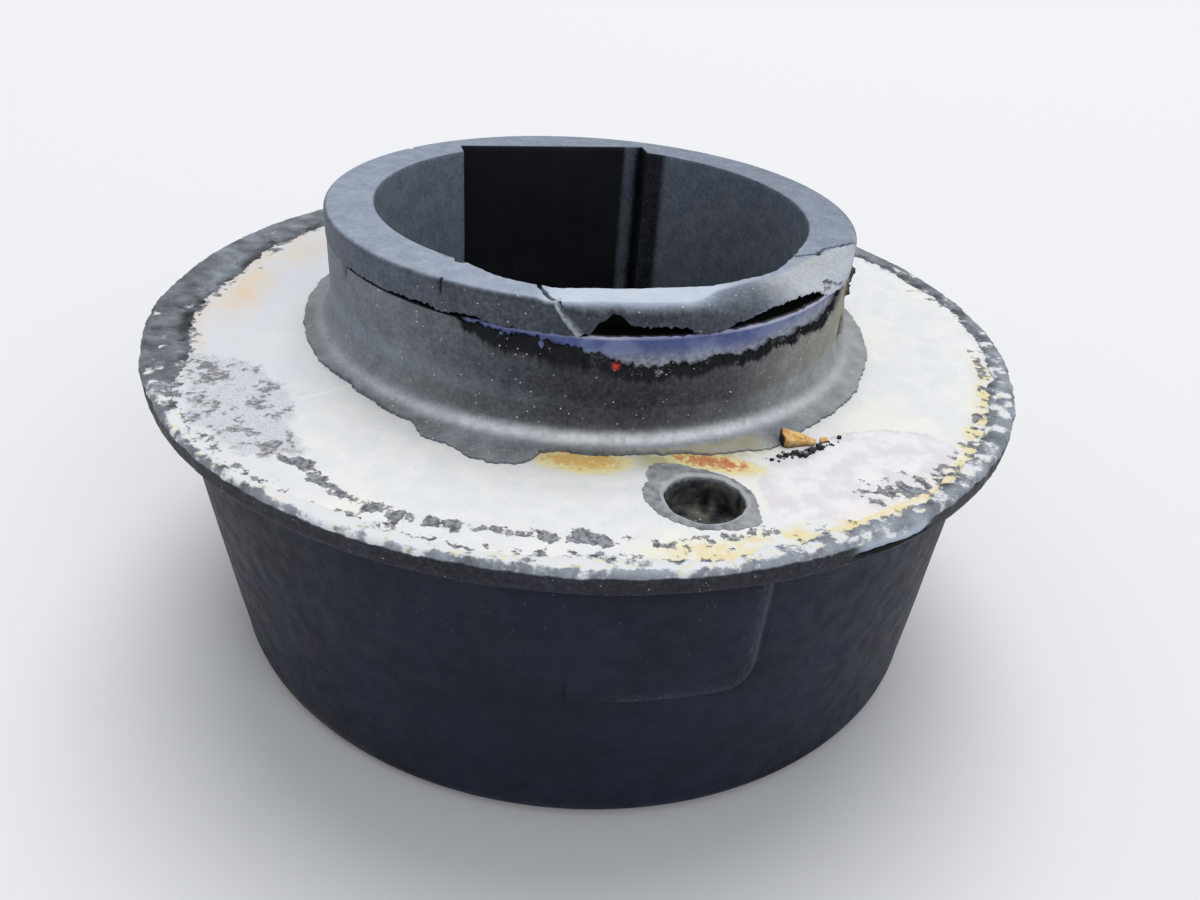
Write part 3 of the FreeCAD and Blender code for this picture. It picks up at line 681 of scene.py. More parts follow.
def make_sleeve():
    """The floor and lining of the bore, the neck on the outside of the tube, and its skin on the flange."""
    deg = columns(0.8, [(-150.0, 0.0, 0.25)] + corner_zones())
    bore = bore_radius(deg)
    top = skin_top(deg)
    hole = FLOOR_HOLE_R + 0.3
    rings = [(FLOOR_HOLE_R, END_PLATE_Z), (FLOOR_HOLE_R, FLOOR_Z - 0.3), (hole, FLOOR_Z)]
    for share in (0.35, 0.7, 0.93, 1.0):
        rings.append((hole + (bore - hole) * share, FLOOR_Z))
    bore_from = len(rings) - 1
    for z in (FLOOR_Z + 0.7, *np.arange(8.0, LINING_Z + 1.0, 3.0)):
        rings.append((bore, z))
    bore_to = len(rings)
    rings += [(TUBE_MID_R, LINING_Z), (TUBE_R - 0.2, top - 0.04)]
    wall_from = len(rings)
    for share in np.linspace(0.0, 1.0, 38) ** 1.2:
        rings.append((NECK_R, top + (SKIN_Z + FOOT_BEND - top) * share))
    wall_to = len(rings)
    edge = foot_edge(deg) + 0.07 * ripple(deg, 10, 60, 41) + 0.05 * ripple(deg, 60, 300, 42, 0.4)
    for turn in np.radians(np.linspace(6.0, 90.0, 17)):
        r = NECK_R + (edge - NECK_R) * (1.0 - math.cos(turn))
        over = np.clip(NECK_R + FOOT_BEND - r, 0.0, FOOT_BEND)
        z = SKIN_Z + FOOT_BEND - np.sqrt(FOOT_BEND ** 2 - over ** 2)
        rings.append((r, z - 0.06 * ease(r, 27.6, 28.6)))
    foot_to = len(rings)
    steel = BEND_Z - np.sqrt(BEND_UPPER ** 2 - np.clip(ROOT_R - edge, 0.0, 2.5) ** 2)
    rings += [(edge + 0.04, steel + 0.04), (edge + 0.06, steel - 0.15), (ROOT_R + 0.2, PLATE_Z - 0.6),
              (NECK_HIDDEN_R, PLATE_UNDER_Z - 0.2), (NECK_HIDDEN_R, END_PLATE_Z)]
    points = rings_to_points(deg, rings)
    z = points[..., 2]
    row = np.arange(len(rings))[:, None]
    lining = span(row, bore_from, bore_to)
    wall = span(row, wall_from, wall_to)
    foot = span(row, wall_to, foot_to)

    # the ragged top edge, small pits, a flap that stands off, and tatters above it
    reach = follow(deg, [
        (-113, 0.6), (-106, 2.2), (-95, 2.7), (-86, 1.9), (-75, 1.6), (-60, 1.3), (-50, 0.9), (-36, 0.8),
        (-24, 0.4)])
    below = top - z
    ragged = wall * band(deg, -112.8, -24.5, 0.6) * (1.0 - ease(below, 0.15, np.maximum(reach, 0.3)))
    coarse = lattice(points, 1.1, 51)
    small = lattice(points, 0.33, 52)
    move = -ragged * (0.36 + 0.26 * coarse + 0.16 * small)
    move = move + wall * (0.03 * lattice(points, 3.0, 53) + 0.012 * lattice(points, 0.7, 54))
    for where, level, wide, tall, depth in ((-146.0, 39.3, 0.8, 0.8, 0.35), (-138.5, 35.4, 0.5, 0.35, 0.3),
                                            (-26.0, 38.9, 1.2, 0.6, 0.35)):
        move = move - wall * depth * hump(deg, where, wide) * hump(z, level, tall)
    flap = ease(deg, -18.3, -17.7) * (1.0 - ease(deg, -16.5, -5.0))
    flap = flap * ease(z, 33.4, 33.8) * (1.0 - ease(z, 34.4, 37.0))
    tatters = hump(deg, -18.0, 4.5) * ease(z, 36.6, 38.8) * (1.0 + 0.9 * coarse + 0.5 * small)
    tatters = ease(tatters, 0.40, 0.85)
    move = move + wall * (0.42 * flap + tatters * (0.14 + 0.30 * small + 0.20 * coarse))
    move = move + lining * 0.04 * lattice(points, 4.0, 55) * (z < 37.5)
    points = push(points, deg, move)

    # dust, and a painted highlight along the foot, partly added through the dust mask
    r = np.hypot(points[..., 0], points[..., 1])
    neck = follow(deg, [
        (-180, 0.46), (-150, 0.48), (-125, 0.42), (-112, 0.31), (-95, 0.16), (-80, 0.13), (-60, 0.26),
        (-45, 0.52), (-20, 0.66), (0, 0.55), (60, 0.40), (120, 0.40)])
    skin = np.maximum(neck, 0.44) * (1.0 + 0.20 * lattice(points, 1.4, 57))
    glint = follow(deg, [
        (-180, 0.05), (-140, 0.12), (-122, 0.25), (-108, 0.50), (-95, 0.60), (-62, 0.60), (-45, 0.35),
        (-20, 0.10), (0, 0.05), (90, 0.0)])
    olive = foot * band(deg, -84.0, -56.0, 3.0) * ease(r, 26.2, 26.8)
    dust_and_light = wall * (neck + 0.10 * ease(below, 3.4, 5.4))
    dust_and_light = dust_and_light + foot * (neck + 0.06 + (skin - neck) * ease(r, 25.3, 26.9))
    dust_and_light = dust_and_light + foot * band(r, 25.35, 26.40, 0.40) * glint * 0.6 + 0.30 * olive
    # the rows at the foot's edge are lightened: painted light over the shade of its small step
    dust_and_light = dust_and_light + 0.34 * span(row, foot_to, foot_to + 2) + lining * bore_dust_and_light(deg) + (row < bore_from) * 0.2
    warm = follow(deg, [
        (-180, 0.0), (-150, 0.25), (-100, 0.30), (-75, 0.25), (-50, 0.7), (-20, 0.9), (10, 0.7), (60, 0.2)])
    warm = warm * wall + np.maximum(warm * 0.6, 0.40) * foot
    scrap = follow(deg, [
        (-113, 0.0), (-95, 0.0), (-86, 0.12), (-79, 0.2), (-75, 0.8), (-71, 0.2), (-45, 0.2), (-34, 0.7),
        (-24, 0.5), (60, 0.0), (180, 0.0)])

    # painted shade in the gaps: the top under the lip, two edges of the flap, and the deepest pit
    painted_gap_shade = span(row, bore_to, wall_from)
    painted_gap_shade = painted_gap_shade + (wall + foot) * hump(deg, -18.5, 0.45) * band(z, 33.4, 35.8, 0.4)
    painted_gap_shade = painted_gap_shade + (wall + foot) * hump(z, 33.4, 0.13) * band(deg, -18.5, -13.0, 0.3) * 0.8
    painted_gap_shade = painted_gap_shade + wall * hump(deg, -146.0, 0.6) * hump(z, 39.3, 0.6)
    make_rings("rubber_neck", points, RUBBER, {
        "dust_and_light": dust_and_light, "warm": np.maximum(warm, olive), "painted_gap_shade": painted_gap_shade, "scrap": wall * scrap,
        "torn": np.maximum(ease(ragged, 0.1, 0.6), wall * tatters * 0.85),
        "speck": (wall + foot) * band(deg, -170.0, 5.0, 12.0) * 0.9,
        "painted_highlight": foot * band(r, 25.50, 26.10, 0.32) * glint * (1.65 + 0.6 * lattice(points, 0.45, 56)),
        "ember": wall * hump(deg, -84.0, 0.7, 4) * hump(z, 37.35, 0.25, 4)})


# ---------------- the lip, torn from the neck and cracked

def make_lip():
    """The rubber ring over the end of the tube; its worn front is a loose piece between two cracks."""
    deg = columns(0.8, [(-150.0, 0.0, 0.25), (-101.0, -86.5, 0.06)] + corner_zones())
    bore = bore_radius(deg)
    bottom = lip_bottom(deg)
    drop = follow(deg, [
        (-99, 0.0), (-97, 0.22), (-80, 0.30), (-50, 0.30), (-30, 0.18), (-16, 0.0), (90, 0.0)])
    worn = follow(deg, [
        (-126, 20.3), (-121.6, 20.35), (-120.4, 20.9), (-118.7, 20.85), (-117.8, 20.45), (-114, 20.95),
        (-109.7, 21.5), (-104.7, 21.9), (-99.9, 22.1), (-95, 21.6), (-90, 21.1), (-83, 20.8), (-76, 20.7),
        (-69, 20.8), (-62, 21.1), (-57, 21.0), (-53.6, 20.9), (-47, 21.1), (-43, 21.1), (-40, 20.9),
        (-34.4, 20.6), (-29.8, 20.4), (-25, 20.3)])
    edge = np.where((deg > -126.0) & (deg < -25.0), worn + 0.03 * ripple(deg, 20, 160, 60, 0.5), bore)
    inner = edge + 0.16
    brow = follow(deg, [
        (-99, LIP_ROUND_R), (-95.5, 24.35), (-91, 23.9), (-87.6, 23.6), (-78, 23.5), (-71, 23.7),
        (-67.5, 23.3), (-65, 22.5), (-62.5, 21.9), (-55, 21.5), (-43, 21.6), (-34, 21.3), (-28, 21.8),
        (-22, 22.8), (-17, 24.0), (-15, LIP_ROUND_R), (90, LIP_ROUND_R)])
    brow = np.maximum(brow, inner + 0.30)
    roll = np.clip((LIP_ROUND_R - brow) / 2.9, 0.0, 1.0)    # how rounded the outer side is worn

    def level(r):
        return LIP_TOP_Z - LIP_TILT * r * np.sin(np.radians(deg)) - drop

    rings = [(bore, LINING_Z), (bore, 39.0), (bore + (edge - bore) * 0.3, 40.0),
             (bore + (edge - bore) * 0.8, 41.0), (edge, level(edge) - 0.55), (edge, level(edge) - 0.20),
             (edge + 0.05, level(edge) - 0.06)]
    top_from = len(rings)
    for share in np.linspace(0.0, 1.0, 26):
        r = inner + (brow - inner) * share
        rings.append((r, level(r)))
    top_to = len(rings)
    fall = np.minimum(0.38 + 1.6 * roll, level(brow) - bottom - 0.12)
    for share in np.linspace(0.0, 1.0, 13)[1:]:
        r = brow + (LIP_R - brow) * (1.0 - (1.0 - share) ** 1.7)
        rings.append((r, level(brow) - fall * share ** (1.5 - 0.2 * roll)))
    shoulder_to = len(rings)
    start = np.maximum(level(brow) - fall, bottom + 0.05)
    for share in np.linspace(0.0, 1.0, 15)[1:]:
        rings.append((LIP_R + 0.05 * roll * (1 - share), start + (bottom - start) * share))
    side_to = len(rings)
    shelf = np.minimum(TUBE_END_Z + 0.10, bottom - 0.03)
    within = TUBE_IN_R - 0.1
    rings += [(LIP_R - 0.12, bottom), (TUBE_R - 0.2, bottom + 0.05), (within, bottom + 0.12), (within, shelf),
              (TUBE_R - 0.35, shelf - 0.04), (TUBE_R - 0.35, TUBE_END_Z - 0.2), (within, LINING_Z)]
    points = rings_to_points(deg, rings)
    row = np.arange(len(rings))[:, None]
    top = span(row, top_from, top_to)
    shoulder = span(row, top_to, shoulder_to)
    side = span(row, top_to, side_to)
    x, y, z = points[..., 0], points[..., 1], points[..., 2]
    r = np.hypot(x, y)

    # the crack through the lip: across the top, then down the outside with one slanting pale face
    top_line = np.interp(r, [21.4, 22.6, 23.1, 23.6, 24.2, 24.8], [-100.2, -99.2, -97.9, -97.4, -95.9, -95.1])
    side_line = np.interp(-z, [-42.6, -42.0, -41.2, -40.4, -39.6], [-95.0, -94.3, -92.6, -90.8, -88.6])
    jag = 0.06 * lattice(points, 0.5, 61)
    gape = np.interp(r, [21.0, 23.0, 24.8], [0.20, 0.24, 0.30])
    crack = 1.0 - ease(np.abs((deg - top_line) * DEGREE * r + jag), gape * 0.6, gape)
    left = (side_line - deg) * DEGREE * LIP_R + jag
    wide = np.interp(-z, [-42.6, -41.4, -40.4, -39.6], [0.32, 0.60, 0.80, 1.05])
    flank = np.where(left >= 0.0, np.clip(1.0 - left / wide, 0.0, 1.0), np.clip(1.0 + left / 0.10, 0.0, 1.0))
    groove = flank * ((left < wide) & (left > -0.10))

    # the fine crack at the other end of the loose piece, and a shallow chip beside the nick
    end_line = path_distance(x, y, [(17.7, -10.8), (19.6, -9.9), (20.6, -8.6), (22.2, -7.6), (24.0, -6.2)])
    end_crack = 1.0 - ease(end_line + 0.05 * lattice(points, 0.5, 62), 0.05, 0.16)
    nick = hump(deg, -124.5, 2.6, 4) * (1.0 - ease(r - bore, 0.9, 1.3 + 0.2 * lattice(points, 0.8, 63)))
    lower = top * (crack * 1.1 + nick * 0.16) + (top + shoulder) * end_crack * 0.45
    points[..., 2] = z - lower + top * (0.025 * lattice(points, 2.0, 64) + 0.01 * lattice(points, 0.5, 65))

    # small branched cracks in the outside
    small_crack = hump(deg, -117.0, 0.28) * ease(z, 41.0, 41.6)
    along = np.broadcast_to(deg * DEGREE * LIP_R, z.shape)
    main = [(-16.4, 40.55), (-15.6, 40.85), (-14.8, 40.6), (-14.0, 40.9), (-13.0, 40.45), (-12.0, 40.3)]
    for branch in (main, [main[1], (-15.0, 41.05), (-14.2, 41.0)]):
        distance = path_distance(along, z, branch) + 0.05 * lattice(points, 0.4, 68)
        small_crack = np.maximum(small_crack, 1.0 - ease(distance, 0.04, 0.12))
    uneven = 0.03 * lattice(points, 2.6, 66) + 0.012 * lattice(points, 0.6, 67)
    sink = side * (groove * 0.75 + small_crack * 0.3) - side * uneven * (deg > -148) * (deg < -22)
    points = push(points, deg, -sink)

    side_dust = follow(deg, [
        (-180, 0.38), (-150, 0.35), (-120, 0.27), (-100, 0.22), (-80, 0.18), (-62, 0.25), (-50, 0.50),
        (-38, 0.78), (-20, 0.74), (0, 0.50), (60, 0.40), (120, 0.40)])
    top_dust = follow(deg, [
        (-180, 0.60), (-130, 0.62), (-99, 0.70), (-97, 0.96), (-70, 1.0), (-50, 0.74), (-20, 0.56),
        (30, 0.50), (90, 0.52), (150, 0.58)])
    slope = np.clip((row - top_to) / (shoulder_to - top_to), 0.0, 1.0)
    shoulder_dust = top_dust * (1.0 - slope) ** 2 * (1.0 - 0.5 * roll) + side_dust * slope
    dust_and_light = top * top_dust + shoulder * shoulder_dust + span(row, shoulder_to, side_to) * side_dust
    dust_and_light = dust_and_light + (row < top_from) * bore_dust_and_light(deg)
    # painted shade: the hidden shelf and underside over the tube, the cracks, and the steep edge of the
    # groove
    painted_gap_shade = (row >= side_to) + top * ease(crack, 0.1, 0.5) + (top + shoulder) * ease(end_crack, 0.3, 0.9) * 0.8
    painted_gap_shade = painted_gap_shade + side * (small_crack * 0.8 + ((left < 0.0) & (left > -0.12)) * 0.9)
    # painted highlight on the loose piece's top and on the right side of the lip
    painted_highlight = top * band(deg, -97.0, -60.0, 3.0) * 0.30
    make_rings("rubber_lip", points, RUBBER, {
        "dust_and_light": dust_and_light, "painted_gap_shade": painted_gap_shade, "pale": side * ((left >= 0.0) & (left < wide)),
        "painted_highlight": painted_highlight + (shoulder + side) * band(deg, -50.0, -15.0, 8.0) * 0.22,
        "white": (top + shoulder) * hump(deg, 144.0, 0.7) * (r > 24.0),
        "speck": side * band(deg, -170.0, 5.0, 12.0) * 0.8 + top * 0.35})


# ---------------- rubber that lines the locating hole

def make_lining():
    """The torn patch of rubber round the locating hole, and the lining down to its floor."""
    deg = columns(2.0)
    patch = follow(deg, [
        (180, 4.6), (155, 4.7), (130, 5.9), (118, 5.2), (100, 4.4), (80, 3.85), (40, 3.8), (10, 3.9),
        (-15, 4.0), (-36, 4.8), (-55, 4.2), (-80, 3.85), (-110, 3.8), (-140, 4.0), (-160, 4.3)])
    patch = patch + 0.06 * ripple(deg, 8, 60, 71, 0.5)
    hole = PIN_R + 0.03 * ripple(deg, 3, 20, 72)
    rings = [(0.01, PIN_UNDER_Z), (PIN_SEAT_R + 0.02, PIN_UNDER_Z), (PIN_SEAT_R + 0.02, 29.9),
             (patch + 0.02, 30.5), (patch, PLATE_Z + 0.03)]
    for share in (0.06, 0.2, 0.4, 0.6, 0.8, 1.0):
        rings.append((patch + (hole + 0.42 - patch) * share, PLATE_Z + 0.06 + 0.12 * ease(share, 0.0, 0.6)))
    skin_to = len(rings)
    rings += [(hole + 0.22, PLATE_Z + 0.12), (hole + 0.05, PLATE_Z - 0.02)]
    bevel_to = len(rings)
    for z in (30.3, 29.9, 29.4, 28.9, 28.4, 28.1):
        rings.append((hole, z))
    for r in (hole - 0.15, 2.3, 1.6, 0.9, 0.01):
        rings.append((r, PIN_FLOOR_Z))
    points = rings_to_points(deg, rings)
    points[..., 0] += PIN_X
    points[..., 1] += PIN_Y
    row = np.arange(len(rings))[:, None]
    noise = lattice(points, 0.6, 73)
    z = points[..., 2]
    points[..., 2] = z + span(row, 5, len(rings) - 1) * noise * (0.05 * (z > 30.5) + 0.12 * (z < 28.05))
    dust_and_light = (row <= skin_to) * 0.60 + span(row, skin_to, bevel_to) * (0.66 + 0.3 * noise)
    dust_and_light = dust_and_light + (row >= bevel_to) * (0.27 + 0.24 * noise)
    dust_and_light = dust_and_light + (row < bevel_to) * 0.22 * lattice(points, 0.45, 74)
    make_rings("hole_lining", points, RUBBER, {
        "dust_and_light": dust_and_light, "warm": 0.45 + 0.45 * (row > bevel_to), "speck": 0.3 + 0.6 * (row >= bevel_to)}, False)


# ---------------- steel parts

def make_cutter():
    """A round bar through the flange at the locating hole."""
    rings = [(PIN_SEAT_R, PLATE_UNDER_Z - 0.6), (PIN_SEAT_R, PLATE_Z + 0.6)]
    points = rings_to_points(np.arange(0.0, 360.0, 5.0), rings)
    points = points + np.array([PIN_X, PIN_Y, 0.0])
    count = points.shape[1]
    faces = [[k, (k + 1) % count, count + (k + 1) % count, count + k] for k in range(count)]
    faces += [list(range(count))[::-1], list(range(count, 2 * count))]
    mesh = bpy.data.meshes.new("hole_cutter")
    mesh.from_pydata((points.reshape(-1, 3) * MM).tolist(), [], faces)
    cutter = bpy.data.objects.new("hole_cutter", mesh)
    bpy.context.scene.collection.objects.link(cutter)
    return cutter


def cut_hole(piece):
    """Cut the locating hole into the flange, and give the piece its new mesh."""
    cutter = make_cutter()
    cut = piece.modifiers.new("hole", "BOOLEAN")
    cut.operation = "DIFFERENCE"
    cut.solver = "EXACT"
    cut.object = cutter
    result = bpy.data.meshes.new_from_object(piece.evaluated_get(bpy.context.evaluated_depsgraph_get()))
    piece.modifiers.clear()
    old, bar = piece.data, cutter.data
    piece.data = result
    bpy.data.objects.remove(cutter)
    bpy.data.meshes.remove(bar)
    bpy.data.meshes.remove(old)
    result.name = piece.name
    return result


def collar_masks(x, y, z):
    """Stains, corrosion and rubber left on the flange, and on the tube its bare band with a painted blue
    reflection, a painted highlight along its end and a dark end face.
    """
    r = np.hypot(x, y)
    here = np.degrees(np.arctan2(y, x))
    plate = (z > 30.0) * (z < 32.5) * (r > 24.6)
    edge = rim_edge(here)
    bloom = polygon_distance(x, y, [(-34.6, -13.9), (-28.9, -15.1), (-23.9, -20.2), (-23.2, -25.2),
                                    (-20.7, -29.0), (-25.1, -30.2), (-31.4, -23.9)])
    pink = polygon_distance(x, y, [(20.8, -21.4), (25.8, -19.5), (29.6, -19.8), (32.0, -22.0), (27.5, -28.5),
                                   (21.0, -33.0), (14.6, -34.0), (13.8, -29.0), (16.0, -24.6)])
    brown = soft_mask(oval_distance(x, y, (0.4, -27.3), (3.9, 1.9), -3.0), 1.0)
    red = soft_mask(oval_distance(x, y, (10.6, -26.5), (4.0, 1.3), -12.0), 0.9)

    # rubber left on the face: near the rim, in a broken arc, in a spot, in front on the right and in a corner
    patches = follow(here, [
        (-180, 0.33), (-160, 0.35), (-150, 0.32), (-135, 0.24), (-120, 0.26), (-105, 0.38), (-90, 0.34),
        (-75, 0.22), (-60, 0.26), (-45, 0.24), (-25, 0.28), (0, 0.22), (90, 0.2)])
    drift = r + 0.32 * ripple(here, 5, 24, 84)
    run = follow(here, [
        (-138, 0.0), (-126, 0.50), (-112, 0.57), (-100, 0.52), (-88, 0.46), (-72, 0.44), (-60, 0.0)])
    corner = polygon_distance(x, y, [(20.5, -30.0), (23.0, -27.4), (28.5, -25.6), (32.0, -22.0),
                                     (32.0, -25.5), (28.0, -29.6), (23.0, -32.2)])
    residue = np.clip(0.5 + (r - edge + 0.25) / 4.4, 0.0, 1.0) * (patches / 0.5) ** 0.5
    for other in (band(drift, 36.9, 38.4, 0.5) * (run + 0.05 * ripple(here, 6, 40, 85) * (run > 0.1)),
                  soft_mask(oval_distance(x, y, (1.2, -37.4), (1.7, 0.9)), 0.6) * 0.95,
                  band(r, 38.0, 39.4, 0.4) * band(here, -56.0, -2.0, 5.0) * 0.42,
                  soft_mask(corner, 1.2) * 0.47):
        residue = np.maximum(residue, other)

    tan = np.maximum(soft_mask(oval_distance(x, y, (-34.3, 0.6), (2.2, 6.0), 4.0), 1.6),
                     soft_mask(oval_distance(x, y, (-31.5, 12.0), (2.6, 5.0), -20.0), 1.6) * 0.6)
    fringe = band(r - edge, -1.4, 0.2, 0.5) * (1.0 - band(here, -152.0, 150.0, 6.0)) * 0.55
    line = path_distance(x, y, [(15.0, -25.6), (17.6, -24.4), (20.8, -21.6), (23.0, -20.4), (25.8, -19.6),
                                (29.6, -19.9)])
    scratch = path_distance(x, y, [(-23.0, -20.8), (-20.6, -18.9), (-19.0, -17.5)])
    tube = ease(z, 35.2, 36.4) * (r < 24.5)
    # lit: how strong the painted highlight along the tube's end is, by direction
    lit = follow(here, [
        (-113, 0.1), (-92, 0.35), (-86, 0.9), (-80, 0.35), (-66, 0.3), (-56, 0.9), (-30, 1.0), (-20, 0.5),
        (60, 0.0), (180, 0.0)])
    return {
        "bloom": soft_mask(bloom, 1.5) * plate, "pink": soft_mask(pink, 1.2) * plate,
        "rust": np.maximum(brown, red) * plate, "red": (x > 5.0) * plate, "residue": residue * plate,
        "yellow": band(here, -80.0, -8.0, 6.0) * band(r, 38.0, 40.6, 0.8) * 0.95 * plate,
        "olive": band(here, -80.0, -52.0, 3.0) * band(r, 25.5, 28.6, 0.7) * plate,
        "cool": ease(-x, 15.0, 34.0) * plate, "tan": np.maximum(tan, fringe) * plate,
        "scratch": soft_mask(scratch - 0.10, 0.14) * plate, "line": soft_mask(line - 0.10, 0.42) * plate,
        "bare_tube": tube, "painted_end_highlight": tube * ease(z, TUBE_END_Z - 0.26, TUBE_END_Z - 0.12) * lit * 0.8,
        "low": tube * (1.0 - ease(z - 0.9 * ease(here, -58.0, -36.0), 37.2, 38.9)),
        "dark_end_face": (z > TUBE_END_Z - 0.15) * (r < 23.98)}


def make_collar():
    """The steel flange and tube, one ring profile with bends, and the locating hole cut through it."""
    deg = columns(0.5)
    rings = [(PLATE_R, PLATE_UNDER_Z), (PLATE_R, 29.9), (PLATE_R, PLATE_Z - 0.05), (PLATE_R - 0.05, PLATE_Z)]
    for r in np.arange(PLATE_R - 0.25, ROOT_R + 0.2, -0.25):
        rings.append((r, PLATE_Z))
    for turn in np.radians(np.linspace(90.0, 0.0, 10)):
        rings.append((ROOT_R - BEND_UPPER * math.cos(turn), BEND_Z - BEND_UPPER * math.sin(turn)))
    for z in np.arange(33.6, TUBE_END_Z - 0.1, 0.3):
        rings.append((TUBE_R, z))
    end_z = TUBE_END_Z + 0.03 * ripple(deg, 20, 200, 81, 0.4)
    rings += [(TUBE_R, TUBE_END_Z - 0.12), (TUBE_R - 0.08, end_z), (TUBE_MID_R, end_z)]
    rings += [(TUBE_IN_R, TUBE_END_Z), (TUBE_IN_R, 36.0), (TUBE_IN_R, BEND_Z)]
    for turn in np.radians(np.linspace(15.0, 90.0, 5)):
        rings.append((ROOT_R - BEND_UNDER * math.cos(turn), BEND_Z - BEND_UNDER * math.sin(turn)))
    rings += [(32.0, PLATE_UNDER_Z), (37.0, PLATE_UNDER_Z)]
    mesh = cut_hole(make_rings("flange_and_tube", rings_to_points(deg, rings), STEEL, {}))

    spots = np.empty(len(mesh.vertices) * 3)
    mesh.vertices.foreach_get("co", spots)
    spots = spots.reshape(-1, 3) / MM
    x, y, z = spots.T
    relief = 0.03 * lattice(spots, 6.0, 82) + 0.012 * lattice(spots, 1.1, 83)
    masks = collar_masks(x, y, z)
    spots[:, 2] = z + relief * (np.abs(z - PLATE_Z) < 0.01) * (np.hypot(x, y) < PLATE_R - 0.1)
    mesh.vertices.foreach_set("co", (spots * MM).ravel())
    mesh.update()
    write_masks(mesh, masks)


def make_end_plate():
    """The round steel plate in the base, with the bolt's hole."""
    rings = [(BOLT_R, END_PLATE_Z), (BOLT_R, 1.6), (BOLT_R, 0.4), (BOLT_R + 0.4, 0.0)]
    for r in (10.0, 14.0, 18.0, 22.0, 26.0, 30.0, END_PLATE_R - 0.1):
        rings.append((r, 0.0))
    rings += [(END_PLATE_R, 0.1), (END_PLATE_R, END_PLATE_Z), (26.0, END_PLATE_Z), (16.0, END_PLATE_Z)]
    make_rings("end_plate_disc", rings_to_points(columns(1.0), rings), BASE_STEEL, {})


# ---------------- rust flake and crumbs by the hole

def chip(centre, corners, height, turn=0.0, slope=(0.0, 0.0), grain=0.0):
    """A flat broken piece with a cornered outline, lying on the flange."""
    corners = np.array(corners)
    ends = np.roll(corners, -1, axis=0)
    sides = [np.linspace(start, end, 6, endpoint=False) for start, end in zip(corners, ends)]
    outline = np.concatenate(sides)
    rows = []
    for share, rise in ((0.02, -0.06), (1.0, -0.06), (1.0, 0.6), (0.96, 0.95), (0.85, 1.0), (0.6, 1.0),
                        (0.3, 1.0), (0.02, 1.0)):
        z = np.full(len(outline), rise * height if rise > 0 else rise)
        rows.append(np.stack([outline[:, 0] * share, outline[:, 1] * share, z], axis=-1))
    points = np.array(rows)
    x, y = points[..., 0], points[..., 1]
    up = slope[0] * (x - x.min()) if slope[0] > 0 else slope[0] * (x - x.max())
    up = up + slope[1] * (y - y.min()) + grain * lattice(points + 9.0, 0.45, 95)
    z = points[..., 2] + (points[..., 2] > 0.0) * up + PLATE_Z
    c, s = math.cos(math.radians(turn)), math.sin(math.radians(turn))
    points = np.stack([x * c - y * s + centre[0], x * s + y * c + centre[1], z], axis=-1)
    spots = points.reshape(-1, 3)
    return spots, outward(spots - spots.mean(axis=0), loop_faces(*points.shape[:2], False))


def join(parts):
    """Several sets of points and faces as one."""
    points, faces, count = [], [], 0
    for spots, quads in parts:
        points.append(spots)
        faces.append(quads + count)
        count += len(spots)
    return np.concatenate(points), np.concatenate(faces)


def make_flake():
    """The flake of rust on the flange and a smaller one beside it, with painted shade where they are low and
    along the big one's left edge.
    """
    outline = [(-1.5, -0.55), (-1.1, -0.75), (-0.2, -0.5), (0.5, -0.35), (1.1, -0.4), (1.4, 0.0), (0.6, 0.45),
               (-0.6, 0.65), (-1.5, 0.7), (-1.65, 0.1)]
    flake = chip((18.1, -22.8), outline, 0.22, 6.0, (-0.20, 0.22), 0.10)
    side = chip((20.2, -22.2), [(-0.4, -0.2), (0.3, -0.25), (0.5, 0.1), (-0.1, 0.3)], 0.2, 30.0, (0.0, 0.2))
    points, faces = join([flake, side])
    x, y, z = points.T
    shade = (z < PLATE_Z + 0.15) | (x < 16.68 - 0.1 * (y + 22.8))
    make_piece("rust_flake", points, faces, FLAKE, {"shade": shade}, 30.0)


def make_crumbs():
    """Crumbs of rubber strewn along a line beside the flake."""
    pick = np.random.default_rng(96)
    route = np.array([(15.0, -25.9), (16.4, -25.1), (17.6, -24.5), (18.9, -24.0), (20.2, -23.0),
                      (21.6, -21.6)])
    run = np.linspace(0.0, 1.0, len(route))
    parts, dust_and_light = [], []
    for k in range(80):
        share = pick.beta(2.0, 2.4)
        size = pick.uniform(0.07, 0.22) if k % 8 else pick.uniform(0.26, 0.40)
        x = np.interp(share, run, route[:, 0]) + pick.normal(0.0, 0.22)
        y = np.interp(share, run, route[:, 1]) + pick.normal(0.0, 0.26)
        corners = []
        for angle in np.arange(0.0, 350.0, 72.0):
            around = math.radians(angle + pick.uniform(-25.0, 25.0))
            reach = size * pick.uniform(0.6, 1.25)
            corners.append((reach * math.cos(around), 0.75 * reach * math.sin(around)))
        height = size * pick.uniform(0.4, 0.9)
        turn = pick.uniform(0.0, 360.0)
        parts.append(chip((x, y), corners, height, turn, (0.0, pick.uniform(0.0, 0.5))))
        dust_and_light.append(np.full(len(parts[-1][0]), pick.choice([0.03, 0.10, 0.22, 0.50])))
    points, faces = join(parts)
    masks = {"dust_and_light": np.concatenate(dust_and_light), "warm": np.full(len(points), 0.7)}
    make_piece("rubber_crumbs", points, faces, RUBBER, masks, 30.0)


make_wall()
make_sleeve()
make_lip()
make_lining()
make_collar()
make_end_plate()
make_flake()
make_crumbs()


# ---------------- floor, light and camera, in metres

FLOOR_HALF = 1.8                    # half the floor's side
BACKDROP = (0.80, 0.81, 0.83, 1.0)  # colour of the floor, and of the world where the camera sees it


